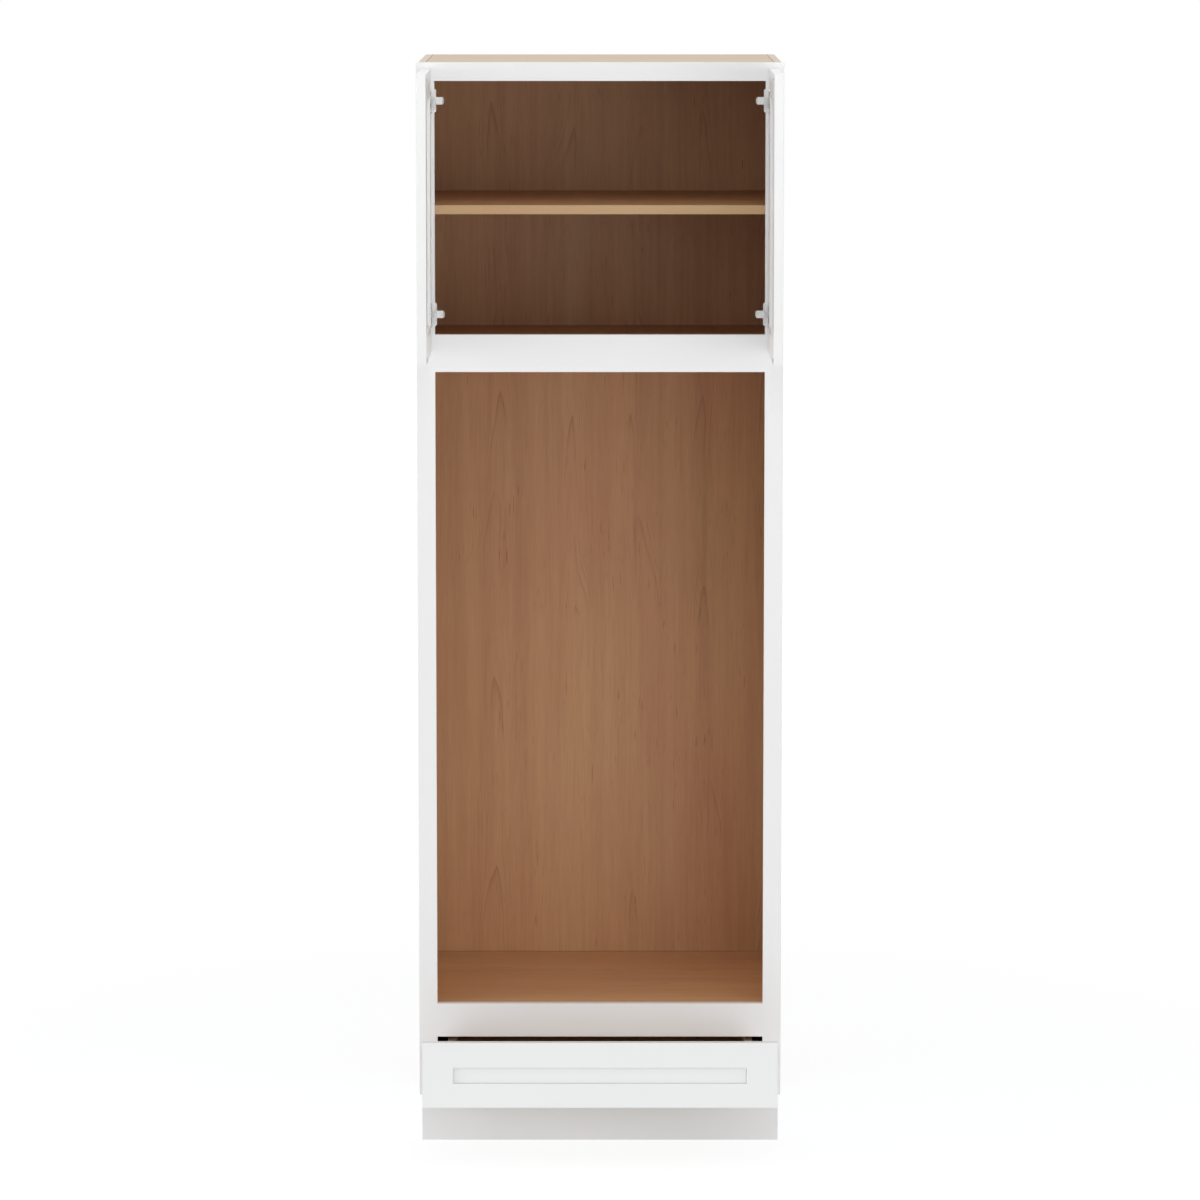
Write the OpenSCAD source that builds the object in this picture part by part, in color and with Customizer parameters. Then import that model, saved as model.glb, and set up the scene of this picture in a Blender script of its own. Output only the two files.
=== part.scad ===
/* [Cabinet] */
// Width across the face frame
cab_w = 762; // [720:1:840]
// Depth from the wall to the front of the face frame
cab_d = 609.6; // [590:0.1:660]
// Height from the floor to the top of the face frame
cab_h = 2286; // [2220:1:2440]
// How far the face frame stands past the box on each side
frame_lip = 3.2; // [1:0.1:8]
// How far the top of the box lies below the top of the face frame
top_drop = 1.6; // [0.5:0.1:6]

/* [Toe space] */
// Height of the toe space, floor to face frame
toe_h = 114.3; // [95:0.1:140]
// How far the toe board stands behind the front of the face frame
toe_recess = 76.2; // [60:0.1:100]
// Thickness of the toe board
toe_t = 12.7; // [9:0.1:19]

/* [Box panels] */
// Thickness of the side panels
side_t = 15.9; // [14:0.1:19]
// Thickness of the top panel
top_t = 12.7; // [9:0.1:19]
// Thickness of the back panel
back_t = 12.7; // [6:0.1:16]
// Thickness of the upper deck and of the oven deck
deck_t = 19.05; // [15:0.05:25]
// Thickness of the bottom panel
bottom_t = 19.05; // [12:0.05:25]
// Depth of the grooves that hold the decks in the side panels
dado_deep = 5; // [2:0.1:7]
// Depth of the rabbet that holds the back panel
rabbet_deep = 9.5; // [4:0.1:12]
// How far the upper deck lies below the top of the middle rail
deck_drop = 26.4; // [5:0.1:45]
// Thickness of the wooden cleats
cleat_t = 19.05; // [12:0.05:25]
// Height of the wooden cleats
cleat_h = 38.1; // [25:0.1:45]

/* [Face frame] */
// Thickness of the face frame
frame_t = 19.05; // [16:0.05:25]
// Width of each stile
stile_w = 38.1; // [32:0.1:50]
// Height of the top rail
top_rail_h = 38.1; // [32:0.1:60]
// Height of the rail between the cupboard and the ovens
middle_rail_h = 77.6; // [60:0.1:90]
// Height of the opening for the two ovens
oven_open_h = 1335; // [1250:1:1370]
// Height of the rail between the ovens and the drawer
oven_rail_h = 70.7; // [60:0.1:80]
// Height of the drawer opening
drawer_open_h = 86.5; // [84:0.1:100]
// Height of the bottom rail
bottom_rail_h = 38.1; // [32:0.1:50]
// Radius of the eased outer edges
ease = 1; // [0.3:0.1:2]
// Length of the tenons on the rails
tenon_l = 14; // [8:0.1:20]
// Thickness of the tenons on the rails
tenon_t = 6.4; // [5:0.1:8]
// Shoulder above and below each tenon
tenon_shoulder = 7; // [5:0.1:10]
// Glue gap round each tenon and dovetail
glue_gap = 0.1; // [0.05:0.01:0.2]

/* [Adjustable shelf] */
// Thickness of the adjustable shelf
shelf_t = 19.05; // [15:0.05:25]
// Share of the cupboard's clear height that lies below the shelf
shelf_share = 0.4779; // [0.4:0.0001:0.55]
// Clearance at the ends and the back of the shelf
shelf_gap = 1.5; // [0.5:0.1:3]
// Diameter of the shelf pins
pin_d = 5; // [4:0.1:7]
// How deep the pin holes go into the side panels
pin_deep = 9; // [6:0.1:11]
// How far each pin reaches under the shelf
pin_out = 8; // [6:0.1:12]
// Distance from one pin hole to the next
pin_pitch = 32; // [25:0.1:50]
// Number of pin holes in each column
pin_count = 7; // [3:2:9]
// Distance of the pin columns from the front and the back
pin_inset = 50; // [35:0.1:90]
// Radius of the shelf's front edges
shelf_round = 1.5; // [0.5:0.1:4]

/* [Doors] */
// Thickness of the doors and the drawer front
door_t = 19.05; // [18:0.05:22]
// How far each door lies over the stile and the top rail
door_lap = 25.4; // [22:0.1:28]
// How far each door lies over the middle rail
door_lap_low = 33.7; // [20:0.1:50]
// Gap between the two closed doors
door_split = 3.2; // [2:0.1:5]
// Gap between a closed door and the face frame
door_gap = 3.2; // [3.1:0.1:4]
// Width of the stiles of the doors
door_stile_w = 64; // [56:0.1:80]
// Height of the rails of the doors
door_rail_h = 57; // [45:0.1:80]
// Thickness of the flat panels in the doors and the drawer front
panel_t = 6.4; // [5:0.1:8]
// Depth of the grooves that hold the flat panels
panel_groove = 10; // [7:0.1:12]
// Space left in the grooves for the panels to move
panel_float = 1.5; // [0.5:0.1:3]
// Width of the bevel round each flat panel
bevel = 3; // [1:0.1:4]
// Radius of the back corner beside the hinges
swing_radius = 3; // [2.8:0.1:4]
// Angle at which both doors stand open
door_angle = 90; // [0:1:105]
// Diameter of the door and drawer bumpers
bumper_d = 8; // [6:0.1:12]
// Thickness of the bumpers
bumper_t = 3; // [2:0.1:3]

/* [Hinges] */
// Distance of the upper hinges from the top of the door
hinge_inset_top = 66.5; // [55:0.1:110]
// Distance of the lower hinges from the bottom of the door
hinge_inset_low = 76; // [60:0.1:110]
// Distance of the hinge pin from the edge of the door
pivot_in = 9.5; // [9.2:0.1:10]
// Depth of the hinge pin below the back face of the door
pivot_deep = 9; // [8.6:0.1:9.2]
// Diameter of the hinge cup
cup_d = 35; // [34:0.1:36]
// Depth of the hinge cup
cup_deep = 12.7; // [12.3:0.1:13.5]
// Wall of the hinge cup
cup_wall = 0.8; // [0.5:0.1:1]
// Distance of the cup from the edge of the door
cup_edge = 5; // [4.8:0.1:5.5]
// Thickness of the cup's flange
flange_t = 1; // [0.6:0.1:1.4]
// Distance between the two screws of a cup
cup_screw_span = 41.8; // [40:0.1:46]
// Diameter of the hinge pin
hinge_pin_d = 3; // [2.4:0.1:3.2]
// Running clearance round the hinge pin
pin_fit = 0.05; // [0.02:0.01:0.1]
// Thickness of the arm's neck
arm_t = 2.4; // [1.8:0.1:2.6]
// Width of the arm's neck
neck_w = 11; // [8:0.1:11]
// Width of the arm's body
arm_w = 15.4; // [14:0.1:20]
// Radius of the corners at the end of the arm's body
arm_round = 4.5; // [2:0.1:6]
// How far the arm reaches in from the face frame
arm_reach = 20; // [16:0.1:26]
// Length of the arm's body behind the face of the frame
arm_len = 24; // [20:0.1:30]
// Thickness of the mounting plate
plate_t = 3.9; // [2:0.1:5]
// Height of the mounting plate
plate_h = 47.7; // [40:0.1:60]

/* [Drawer] */
// How far the drawer front laps the opening at each side
front_lap_x = 26; // [22:0.1:30]
// How far the drawer front laps the opening above and below
front_lap_z = 25.4; // [20:0.1:30]
// Width of the stiles of the drawer front
front_stile_w = 64.5; // [50:0.1:80]
// Height of the top rail of the drawer front
front_top_h = 54.7; // [45:0.1:58]
// Height of the bottom rail of the drawer front
front_low_h = 50.6; // [45:0.1:56]
// How far the drawer is pulled out
drawer_pull = 172; // [0:1:500]
// Clearance between the drawer box and the opening at each side
box_side_gap = 21.4; // [10:0.1:30]
// Clearance below the drawer box
box_low_gap = 14; // [13.5:0.1:16]
// Height of the drawer box
box_h = 61.6; // [50:0.1:68]
// Length of the drawer box
box_len = 533.4; // [450:0.1:550]
// Thickness of the drawer box walls
box_t = 15.9; // [12:0.1:19]
// Radius of the top edges of the drawer box
wall_round = 2; // [0.5:0.1:3]
// Thickness of the drawer bottom
floor_t = 6.4; // [4:0.1:9]
// Height of the space for the slides under the drawer bottom
slide_space = 12.7; // [12:0.1:14]
// Number of dovetails at each corner
tail_count = 3; // [2:1:4]
// Wood left in front of the dovetails
tail_lap = 4; // [3:0.1:6]

/* [Slides] */
// Length of the fixed rail of each slide
slide_len = 533.4; // [480:0.1:550]
// Length of the middle member of each slide
mid_len = 500; // [450:0.1:510]
// Sheet thickness of the slides
sheet = 1.5; // [1:0.1:1.8]
// Width of the slides across their channels
channel_w = 24; // [20:0.1:28]
// Clearance between the sliding members
slide_fit = 0.2; // [0.1:0.01:0.3]
// Length of each nylon shoe
shoe_len = 40; // [25:1:60]

/* [Hidden] */
$fn = 48;
// How far cutters run past the faces that they cut
cut = 1;

// Places across the cabinet, from its centre plane
box_half = cab_w / 2 - frame_lip;
in_x = box_half - side_t;
open_x = cab_w / 2 - stile_w;

// Places along the depth, from the wall towards the room
front_y = -cab_d;
frame_back_y = front_y + frame_t;
toe_front_y = front_y + toe_recess;
toe_back_y = toe_front_y + toe_t;

// Heights of the face frame's openings and rails
drawer_open_z = toe_h + bottom_rail_h;
oven_rail_z = drawer_open_z + drawer_open_h;
oven_open_z = oven_rail_z + oven_rail_h;
middle_rail_z = oven_open_z + oven_open_h;
upper_open_z = middle_rail_z + middle_rail_h;
top_rail_z = cab_h - top_rail_h;
box_top = cab_h - top_drop;

// Heights of the panels
upper_deck_top = upper_open_z - deck_drop;
upper_clear_h = box_top - top_t - upper_deck_top;
shelf_z = upper_deck_top + shelf_share * upper_clear_h;
// The pins carry the shelf on their tops
pin_z = shelf_z - pin_d / 2;
pin_ys = [frame_back_y + pin_inset, -back_t - pin_inset];

// Closed doors
door_edge_x = open_x + door_lap;
door_w = door_edge_x - door_split / 2;
door_z = upper_open_z - door_lap_low;
door_h = top_rail_z + door_lap - door_z;
door_back_y = front_y - door_gap;
pivot_x = door_edge_x - pivot_in;
pivot_y = door_back_y - pivot_deep;
bumper_edge = 6;
hinge_zs = [door_z + hinge_inset_low, door_z + door_h - hinge_inset_top];

// Hinge, measured from the pin: x from the centre plane outwards, y towards the wall
cup_x = pivot_in - cup_edge - cup_d / 2;
cup_floor_y = pivot_deep - cup_deep;
knuckle_wall = 1;
knuckle_r = hinge_pin_d / 2 + knuckle_wall;
frame_rel_y = pivot_deep + door_gap;
edge_rel_x = open_x - pivot_x;
neck_gap = 1.9;
arm_set = 2;
arm_body_y = frame_rel_y + arm_set;
plate_y = arm_body_y + arm_set;
plate_len = frame_rel_y + frame_t - plate_y;
arm_end_y = arm_body_y + arm_len - arm_set;
arm_bevel = 3;
ear_gap = 0.5;
ear_z = neck_w / 2 + ear_gap;
ear_w = 4;
pin_half = ear_z + ear_w;
flange_lip = 1.5;
cup_screw_back = 9.5;
cup_screw_x = cup_x - cup_screw_back;
cup_screw_pad = 5;
cup_screw_len = 11;
plate_bevel = 2;
plate_screw_set = 3;
plate_screw_y = plate_y + frame_t / 2 - plate_screw_set;
plate_screw_inset = 8;
plate_screw_z = plate_h / 2 - plate_screw_inset;
arm_screw_seat = 1;

// Screws: shank, head, and the depth of the head
screw_d = 3.5;
screw_head_d = 7;
screw_head_h = 1.8;
sunk_head_h = 2;
screw_bite = 14;
// Share of a screw head's width that is left at its top
head_top = 0.7;
// Gap at the end of each tenon, in glue gaps
tenon_end = 5;

// Drawer, in its closed place
drawer_front_half = open_x + front_lap_x;
drawer_front_z = drawer_open_z - front_lap_z;
drawer_front_h = drawer_open_h + 2 * front_lap_z;
box_outer = open_x - box_side_gap;
box_z = drawer_open_z + box_low_gap;
floor_z = box_z + slide_space;
floor_groove = 6;
front_screw_x = [-250, -100, 100, 250];
front_screw_drop = 7;
front_screw_bite = 12;
front_screw_head_d = 8;
box_front_y = door_back_y;
box_back_y = box_front_y + box_len;
tail_len = box_t - tail_lap;
// Half of a tail's root as a share of the pitch, and how fast the tail widens
tail_root = 1 / 4;
tail_slope = 1 / 7;

// Slides, in their closed place
slide_side_gap = 0.5;
slide_x = box_outer - box_t - slide_side_gap - channel_w / 2;
rail_z = drawer_open_z;
runner_top = floor_z;
flange_play = 1;
flange_w = channel_w - 2 * (sheet + slide_fit + flange_play);
lip_w = 5;
channel_h = 9.6;
runner_z = runner_top - channel_h;
slide_set = 3;
slide_front_y = front_y + slide_set;
slide_fix_y = [40, 250, 470];
slide_screw_head_d = 6.5;
runner_set = 2;
runner_front_y = box_front_y + box_t + runner_set;
mid_front_y = runner_front_y + 2 * runner_set;
back_notch = 35;
hook_w = 10;
hook_d = 5;
hook_fit = 0.5;
hook_deep = 9;
hook_z = floor_z + 12;
latch_w = 22;
latch_len = 50;
latch_h = 10;
lever_len = 16;
lever_w = 14;
lever_t = 4;
lever_round = 5;

// Colours, as the photograph shows them
paint = [0.91, 0.91, 0.90];
maple = [0.75, 0.60, 0.44];
raw_top = [0.86, 0.81, 0.75];
steel = [0.78, 0.78, 0.79];
nylon = [0.30, 0.31, 0.33];
rubber = [0.92, 0.92, 0.90];

// A box between two corners
module block(low, high) {
    translate(low) cube(high - low);
}

// An outline in depth and height, carried along x from x0 to x1
module across(x0, x1) {
    translate([x0, 0, 0]) rotate([90, 0, 90]) linear_extrude(x1 - x0) children();
}

// The same child on both sides of the centre plane
module both_sides() {
    children();
    mirror([1, 0, 0]) children();
}

// The right-hand child, or its mirror image on the left
module on_side(side) {
    if (side == "right") children();
    else mirror([1, 0, 0]) children();
}

// A rectangle with one rounded corner at its far end in x and y
module corner_rounded(w, h, r) {
    square([w - r, h]);
    square([w, h - r]);
    translate([w - r, h - r]) circle(r);
}

// A rectangle with both upper corners rounded
module top_rounded(w, h, r) {
    square([w, h - r]);
    translate([r, 0]) square([w - 2 * r, h]);
    for (x = [r, w - r]) translate([x, h - r]) circle(r);
}

// Screw along +z with its head below z = 0, as a solid or as the hole for it
module screw(head_d, head_h, shank_d, shank_l) {
    translate([0, 0, -head_h]) cylinder(d1 = head_d * head_top, d2 = head_d, h = head_h / 2);
    translate([0, 0, -head_h / 2]) cylinder(d = head_d, h = head_h / 2);
    cylinder(d = shank_d, h = shank_l);
}

// Side panel, right-hand: toe notch, back rabbet, dadoes and shelf-pin holes
module side_panel() {
    difference() {
        across(in_x, box_half) polygon([
            [0, 0], [0, box_top], [frame_back_y, box_top], [frame_back_y, toe_h],
            [toe_back_y, toe_h], [toe_back_y, 0]
        ]);
        block([in_x - cut, -back_t, -cut], [in_x + rabbet_deep, cut, box_top + cut]);
        dado(upper_deck_top - deck_t, deck_t);
        dado(drawer_open_z - bottom_t, bottom_t);
        for (y = pin_ys)
            for (i = [0 : pin_count - 1])
                translate([in_x - cut, y, pin_z + (i - (pin_count - 1) / 2) * pin_pitch])
                    rotate([0, 90, 0]) cylinder(d = pin_d, h = pin_deep + cut);
    }
}

module dado(z, t) {
    block([in_x - cut, frame_back_y - cut, z], [in_x + dado_deep, -back_t, z + t]);
}

// Panel that lies between the sides, let into them by reach
module flat_panel(z, t, reach) {
    block([-in_x - reach, frame_back_y, z], [in_x + reach, -back_t, z + t]);
}

module top_panel() {
    color(raw_top) flat_panel(box_top - top_t, top_t, 0);
}

module back_panel() {
    half = in_x + rabbet_deep;
    color(maple) block([-half, -back_t, 0], [half, 0, box_top]);
}

module upper_deck() {
    color(maple) flat_panel(upper_deck_top - deck_t, deck_t, dado_deep);
}

module oven_deck() {
    color(maple) flat_panel(oven_open_z - deck_t, deck_t, 0);
}

module bottom_panel() {
    color(maple) difference() {
        flat_panel(drawer_open_z - bottom_t, bottom_t, dado_deep);
        both_sides() slide_screws(0);
    }
}

module toe_kick() {
    color(paint) block([-box_half, toe_front_y, 0], [box_half, toe_back_y, toe_h]);
}

// Cleats under the oven deck at the sides and the back, and behind the toe board
module support_cleats() {
    top = oven_open_z - deck_t;
    nailer_top = drawer_open_z - bottom_t;
    back_half = in_x - cleat_t - glue_gap;
    color(maple) {
        both_sides() block([in_x - cleat_t, frame_back_y, top - cleat_h], [in_x, -back_t, top]);
        block([-back_half, -back_t - cleat_t, top - cleat_h], [back_half, -back_t, top]);
        block([-in_x, toe_back_y, nailer_top - 2 * cleat_h],
              [in_x, toe_back_y + cleat_t, nailer_top]);
    }
}

// Tenon of a rail at its right-hand end, grown by gap for the mortise
module tenon(z, h, gap) {
    mid_y = front_y + frame_t / 2;
    block([open_x - cut, mid_y - tenon_t / 2 - gap, z + tenon_shoulder - gap],
          [open_x + tenon_l + tenon_end * gap, mid_y + tenon_t / 2 + gap,
           z + h - tenon_shoulder + gap]);
}

module frame_stile() {
    out_x = cab_w / 2;
    difference() {
        translate([open_x, frame_back_y, toe_h]) mirror([0, 1, 0])
            linear_extrude(cab_h - toe_h) corner_rounded(stile_w, frame_t, ease);
        tenon(top_rail_z, top_rail_h, glue_gap);
        tenon(middle_rail_z, middle_rail_h, glue_gap);
        tenon(oven_rail_z, oven_rail_h, glue_gap);
        tenon(toe_h, bottom_rail_h, glue_gap);
        at_hinges() {
            plate_screws(glue_gap);
            arm_screw(glue_gap);
        }
    }
}

module frame_rail(z, h) {
    color(paint) {
        block([-open_x, front_y, z], [open_x, frame_back_y, z + h]);
        both_sides() tenon(z, h, 0);
    }
}

module adjustable_shelf() {
    half = in_x - shelf_gap;
    back = -back_t - shelf_gap;
    depth = back - frame_back_y - shelf_gap;
    color(maple) across(-half, half) translate([back, shelf_z]) rotate(90)
        top_rounded(shelf_t, depth, shelf_round);
}

// Four pins: a peg in the side panel and a flat-topped spoon under the shelf
module shelf_pins() {
    color(steel) both_sides() for (y = pin_ys) {
        translate([in_x - pin_out, y, pin_z]) rotate([0, 90, 0])
            cylinder(d = pin_d, h = pin_out + pin_deep);
        block([in_x - pin_out, y - pin_d, shelf_z - sheet], [in_x, y + pin_d, shelf_z]);
    }
}

// Mounting plate, measured from the hinge pin, against the stile's inner edge
module hinge_plate() {
    face_x = edge_rel_x - plate_t;
    face_z = plate_h / 2 - plate_bevel;
    difference() {
        translate([0, plate_y + plate_len, 0]) rotate([90, 0, 0]) linear_extrude(plate_len)
            polygon([
                [edge_rel_x, -plate_h / 2], [edge_rel_x, plate_h / 2],
                [face_x + plate_bevel, plate_h / 2], [face_x, face_z],
                [face_x, -face_z], [face_x + plate_bevel, -plate_h / 2]
            ]);
        plate_screws(0);
        arm_screw(0);
    }
}

// Two countersunk screws through the plate into the stile
module plate_screws(gap) {
    for (s = [-1, 1])
        translate([edge_rel_x - plate_t, plate_screw_y, s * plate_screw_z])
            rotate([0, 90, 0]) {
                cylinder(d1 = screw_head_d, d2 = screw_d, h = sunk_head_h);
                cylinder(d = screw_d, h = plate_t + screw_bite + gap);
            }
}

// Screw that fixes the arm on its plate and in the stile, its head towards the opening
module arm_screw(gap) {
    translate([edge_rel_x - arm_reach + arm_screw_seat, plate_screw_y, 0]) rotate([0, 90, 0])
        screw(screw_head_d, screw_head_h, screw_d, arm_reach + screw_bite + gap);
}

// Arm: a knuckle round the pin, a bent neck, and a body on the mounting plate
module hinge_arm() {
    neck_x = edge_rel_x - neck_gap;
    body_x = edge_rel_x - arm_reach;
    difference() {
        union() {
            translate([0, 0, -neck_w / 2]) linear_extrude(neck_w) {
                circle(knuckle_r);
                polygon([
                    [0, -knuckle_r], [0, -knuckle_r + arm_t],
                    [neck_x, -knuckle_r + arm_t], [neck_x, plate_y],
                    [neck_x - arm_t, plate_y], [neck_x - arm_t, -knuckle_r + arm_t / 2],
                    [neck_x - arm_t / 2, -knuckle_r]
                ]);
            }
            intersection() {
                translate([0, arm_body_y, 0]) rotate([-90, 0, 0])
                    linear_extrude(arm_end_y - arm_body_y) finger(body_x, neck_x, arm_w, arm_round);
                translate([0, 0, -arm_w / 2]) linear_extrude(arm_w) polygon([
                    [body_x, arm_body_y + arm_bevel], [body_x + arm_bevel, arm_body_y],
                    [neck_x, arm_body_y], [neck_x, plate_y],
                    [edge_rel_x - plate_t, plate_y], [edge_rel_x - plate_t, arm_end_y],
                    [body_x, arm_end_y]
                ]);
            }
        }
        translate([0, 0, -arm_w]) cylinder(d = hinge_pin_d + 2 * pin_fit, h = 2 * arm_w);
        arm_screw(0);
        translate([body_x - cut, plate_screw_y, 0]) rotate([0, 90, 0])
            cylinder(d = screw_head_d + 2 * arm_screw_seat, h = cut + arm_screw_seat);
    }
}

// Outline w wide from x0 to x1, with corners of radius r at x0
module finger(x0, x1, w, r) {
    translate([x0 + r, -w / 2]) square([x1 - x0 - r, w]);
    translate([x0, r - w / 2]) square([x1 - x0, w - 2 * r]);
    for (s = [-1, 1]) translate([x0 + r, s * (w / 2 - r)]) circle(r);
}

// Places a child at each hinge pin of the right-hand door frame
module at_hinges() {
    for (z = hinge_zs) translate([pivot_x, pivot_y, z]) children();
}

module hinge_plates() {
    color(steel) both_sides() at_hinges() hinge_plate();
}

module hinge_arms() {
    color(steel) both_sides() at_hinges() hinge_arm();
}

module hinge_plate_screws() {
    color(steel) both_sides() at_hinges() plate_screws(0);
}

module hinge_arm_screws() {
    color(steel) both_sides() at_hinges() arm_screw(0);
}

// Turns a child that is drawn on the closed right-hand door to the open door
module swing() {
    translate([pivot_x, pivot_y, 0]) rotate([0, 0, door_angle])
        translate([-pivot_x, -pivot_y, 0]) children();
}

// Block d deep along -y, w by h at y = 0, that grows by g on every edge at its far face
module tapered(w, h, d, g) {
    near = [[0, 0, 0], [w, 0, 0], [w, 0, h], [0, 0, h]];
    far = [[-g, -d, -g], [w + g, -d, -g], [w + g, -d, h + g], [-g, -d, h + g]];
    polyhedron(concat(near, far), [
        [0, 1, 2, 3], [7, 6, 5, 4], [4, 5, 1, 0], [5, 6, 2, 1], [6, 7, 3, 2], [7, 4, 0, 3]
    ]);
}

// Outline of a front of width w and height h, with eased edges at its face
module eased_front(w, h) {
    block([0, ease - door_t, 0], [w, 0, h]);
    translate([0, ease - door_t, 0]) tapered(w, h, ease, -ease);
}

// Bevelled opening round the flat panel of a front
module front_opening(w, h, stile, low, high) {
    translate([stile, bevel - door_t, low])
        tapered(w - 2 * stile, h - low - high, bevel + cut, bevel + cut);
}

// Left-hand stile of a front that is w wide and h high, its back face at y = 0
module front_stile(w, h, stile, low, high) {
    difference() {
        intersection() {
            block([0, -door_t, 0], [stile, 0, h]);
            eased_front(w, h);
        }
        block([stile - panel_groove, -door_t / 2 - panel_t / 2, -cut],
              [stile + cut, -door_t / 2 + panel_t / 2, h + cut]);
        front_opening(w, h, stile, low, high);
    }
}

// Lower rail of a front, with tongues in the stiles' grooves
module front_rail(w, h, stile, low, high) {
    difference() {
        intersection() {
            union() {
                block([stile, -door_t, 0], [w - stile, 0, low]);
                block([stile - panel_groove + glue_gap, -door_t / 2 - panel_t / 2, 0],
                      [w - stile + panel_groove - glue_gap, -door_t / 2 + panel_t / 2, low]);
            }
            eased_front(w, h);
        }
        block([0, -door_t / 2 - panel_t / 2, low - panel_groove],
              [w, -door_t / 2 + panel_t / 2, low + cut]);
        front_opening(w, h, stile, low, high);
    }
}

// Mirrors a front from side to side
module swapped(w) {
    translate([w, 0, 0]) mirror([1, 0, 0]) children();
}

module front_panel(w, h, stile, low, high) {
    reach = panel_groove - panel_float;
    block([stile - reach, -door_t / 2 - panel_t / 2, low - reach],
          [w - stile + reach, -door_t / 2 + panel_t / 2, h - high + reach]);
}

// Places a front at the right-hand door: x from the meeting edge to the hinge edge
module door_place() {
    swing() translate([door_split / 2, door_back_y, door_z]) children();
}

// Bores for the cups and the cup screws, and the rounded back corner
module hinge_stile() {
    r = swing_radius;
    difference() {
        swapped(door_w) front_stile(door_w, door_h, door_stile_w, door_rail_h, door_rail_h);
        difference() {
            block([door_w - r, -r, -cut], [door_w + cut, cut, door_h + cut]);
            translate([door_w - r, -r, -2 * cut]) cylinder(r = r, h = door_h + 4 * cut);
        }
        for (z = hinge_zs)
            translate([pivot_x - door_split / 2, pivot_y - door_back_y, z - door_z]) {
                translate([cup_x, cup_floor_y, 0]) rotate([-90, 0, 0])
                    cylinder(d = cup_d, h = cup_deep + cut);
                cup_screws();
            }
    }
}

// Two screws of a cup, measured from the hinge pin
module cup_screws() {
    for (s = [-1, 1])
        translate([cup_screw_x, pivot_deep + flange_t, s * cup_screw_span / 2])
            rotate([90, 0, 0]) screw(screw_head_d, screw_head_h, screw_d, cup_screw_len);
}

// Cup with its flange and the two ears that hold the pin
module hinge_cup() {
    inner = cup_d - 2 * cup_wall;
    difference() {
        union() {
            translate([cup_x, cup_floor_y, 0]) rotate([-90, 0, 0])
                cylinder(d = cup_d, h = cup_deep);
            translate([0, pivot_deep, 0]) rotate([-90, 0, 0]) linear_extrude(flange_t) {
                translate([cup_x, 0]) circle(cup_d / 2 + flange_lip);
                for (s = [-1, 1])
                    translate([cup_screw_x, s * cup_screw_span / 2]) circle(cup_screw_pad);
                translate([cup_screw_x - cup_screw_pad, -cup_screw_span / 2])
                    square([2 * cup_screw_pad, cup_screw_span]);
            }
        }
        difference() {
            translate([cup_x, cup_floor_y + cup_wall, 0]) rotate([-90, 0, 0])
                cylinder(d = inner, h = cup_deep + flange_t);
            for (s = [-1, 1]) ear(s);
        }
        translate([0, 0, -pin_half - glue_gap])
            cylinder(d = hinge_pin_d, h = 2 * (pin_half + glue_gap));
        cup_screws();
    }
}

// Ear of the cup beside the arm's knuckle, above or below it
module ear(s) {
    z = s > 0 ? ear_z : -ear_z - ear_w;
    translate([0, 0, z]) linear_extrude(ear_w) {
        circle(knuckle_r);
        translate([-knuckle_r, cup_floor_y]) square([cup_d, knuckle_r - cup_floor_y + cut]);
    }
}

module hinge_pin() {
    translate([0, 0, -pin_half]) cylinder(d = hinge_pin_d, h = 2 * pin_half);
}

// Bumpers near the meeting edge, where the door shuts against the face frame
module door_bumpers() {
    inset = bumper_d / 2 + bumper_edge;
    color(rubber) door_place() for (z = [inset, door_h - inset])
        translate([inset + door_split / 2, 0, z]) rotate([-90, 0, 0])
            cylinder(d = bumper_d, h = bumper_t);
}

// Pieces of one door, drawn for the right-hand side
module door_piece(piece) {
    if (piece == "hinge_stile")
        color(paint) door_place() hinge_stile();
    if (piece == "free_stile")
        color(paint) door_place()
            front_stile(door_w, door_h, door_stile_w, door_rail_h, door_rail_h);
    if (piece == "bottom_rail")
        color(paint) door_place()
            front_rail(door_w, door_h, door_stile_w, door_rail_h, door_rail_h);
    if (piece == "top_rail")
        color(paint) door_place() translate([0, 0, door_h]) mirror([0, 0, 1])
            front_rail(door_w, door_h, door_stile_w, door_rail_h, door_rail_h);
    if (piece == "panel")
        color(paint) door_place()
            front_panel(door_w, door_h, door_stile_w, door_rail_h, door_rail_h);
    if (piece == "hinge_cups") color(steel) swing() at_hinges() hinge_cup();
    if (piece == "hinge_pins") color(steel) swing() at_hinges() hinge_pin();
    if (piece == "cup_screws") color(steel) swing() at_hinges() cup_screws();
    if (piece == "bumpers") door_bumpers();
}

// Moves a child forward with the drawer; the middle members go half as far
module pulled(share) {
    translate([0, -share * drawer_pull, 0]) children();
}

// Places a front at the closed drawer: x from its left edge
module drawer_front_place() {
    pulled(1) translate([-drawer_front_half, door_back_y, drawer_front_z]) children();
}

// Screws from inside the box into the top rail of the drawer front
module front_screws() {
    for (x = front_screw_x)
        translate([x, box_front_y + box_t, box_z + box_h - front_screw_drop])
            rotate([90, 0, 0])
                screw(front_screw_head_d, sunk_head_h, screw_d, box_t + front_screw_bite);
}

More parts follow.
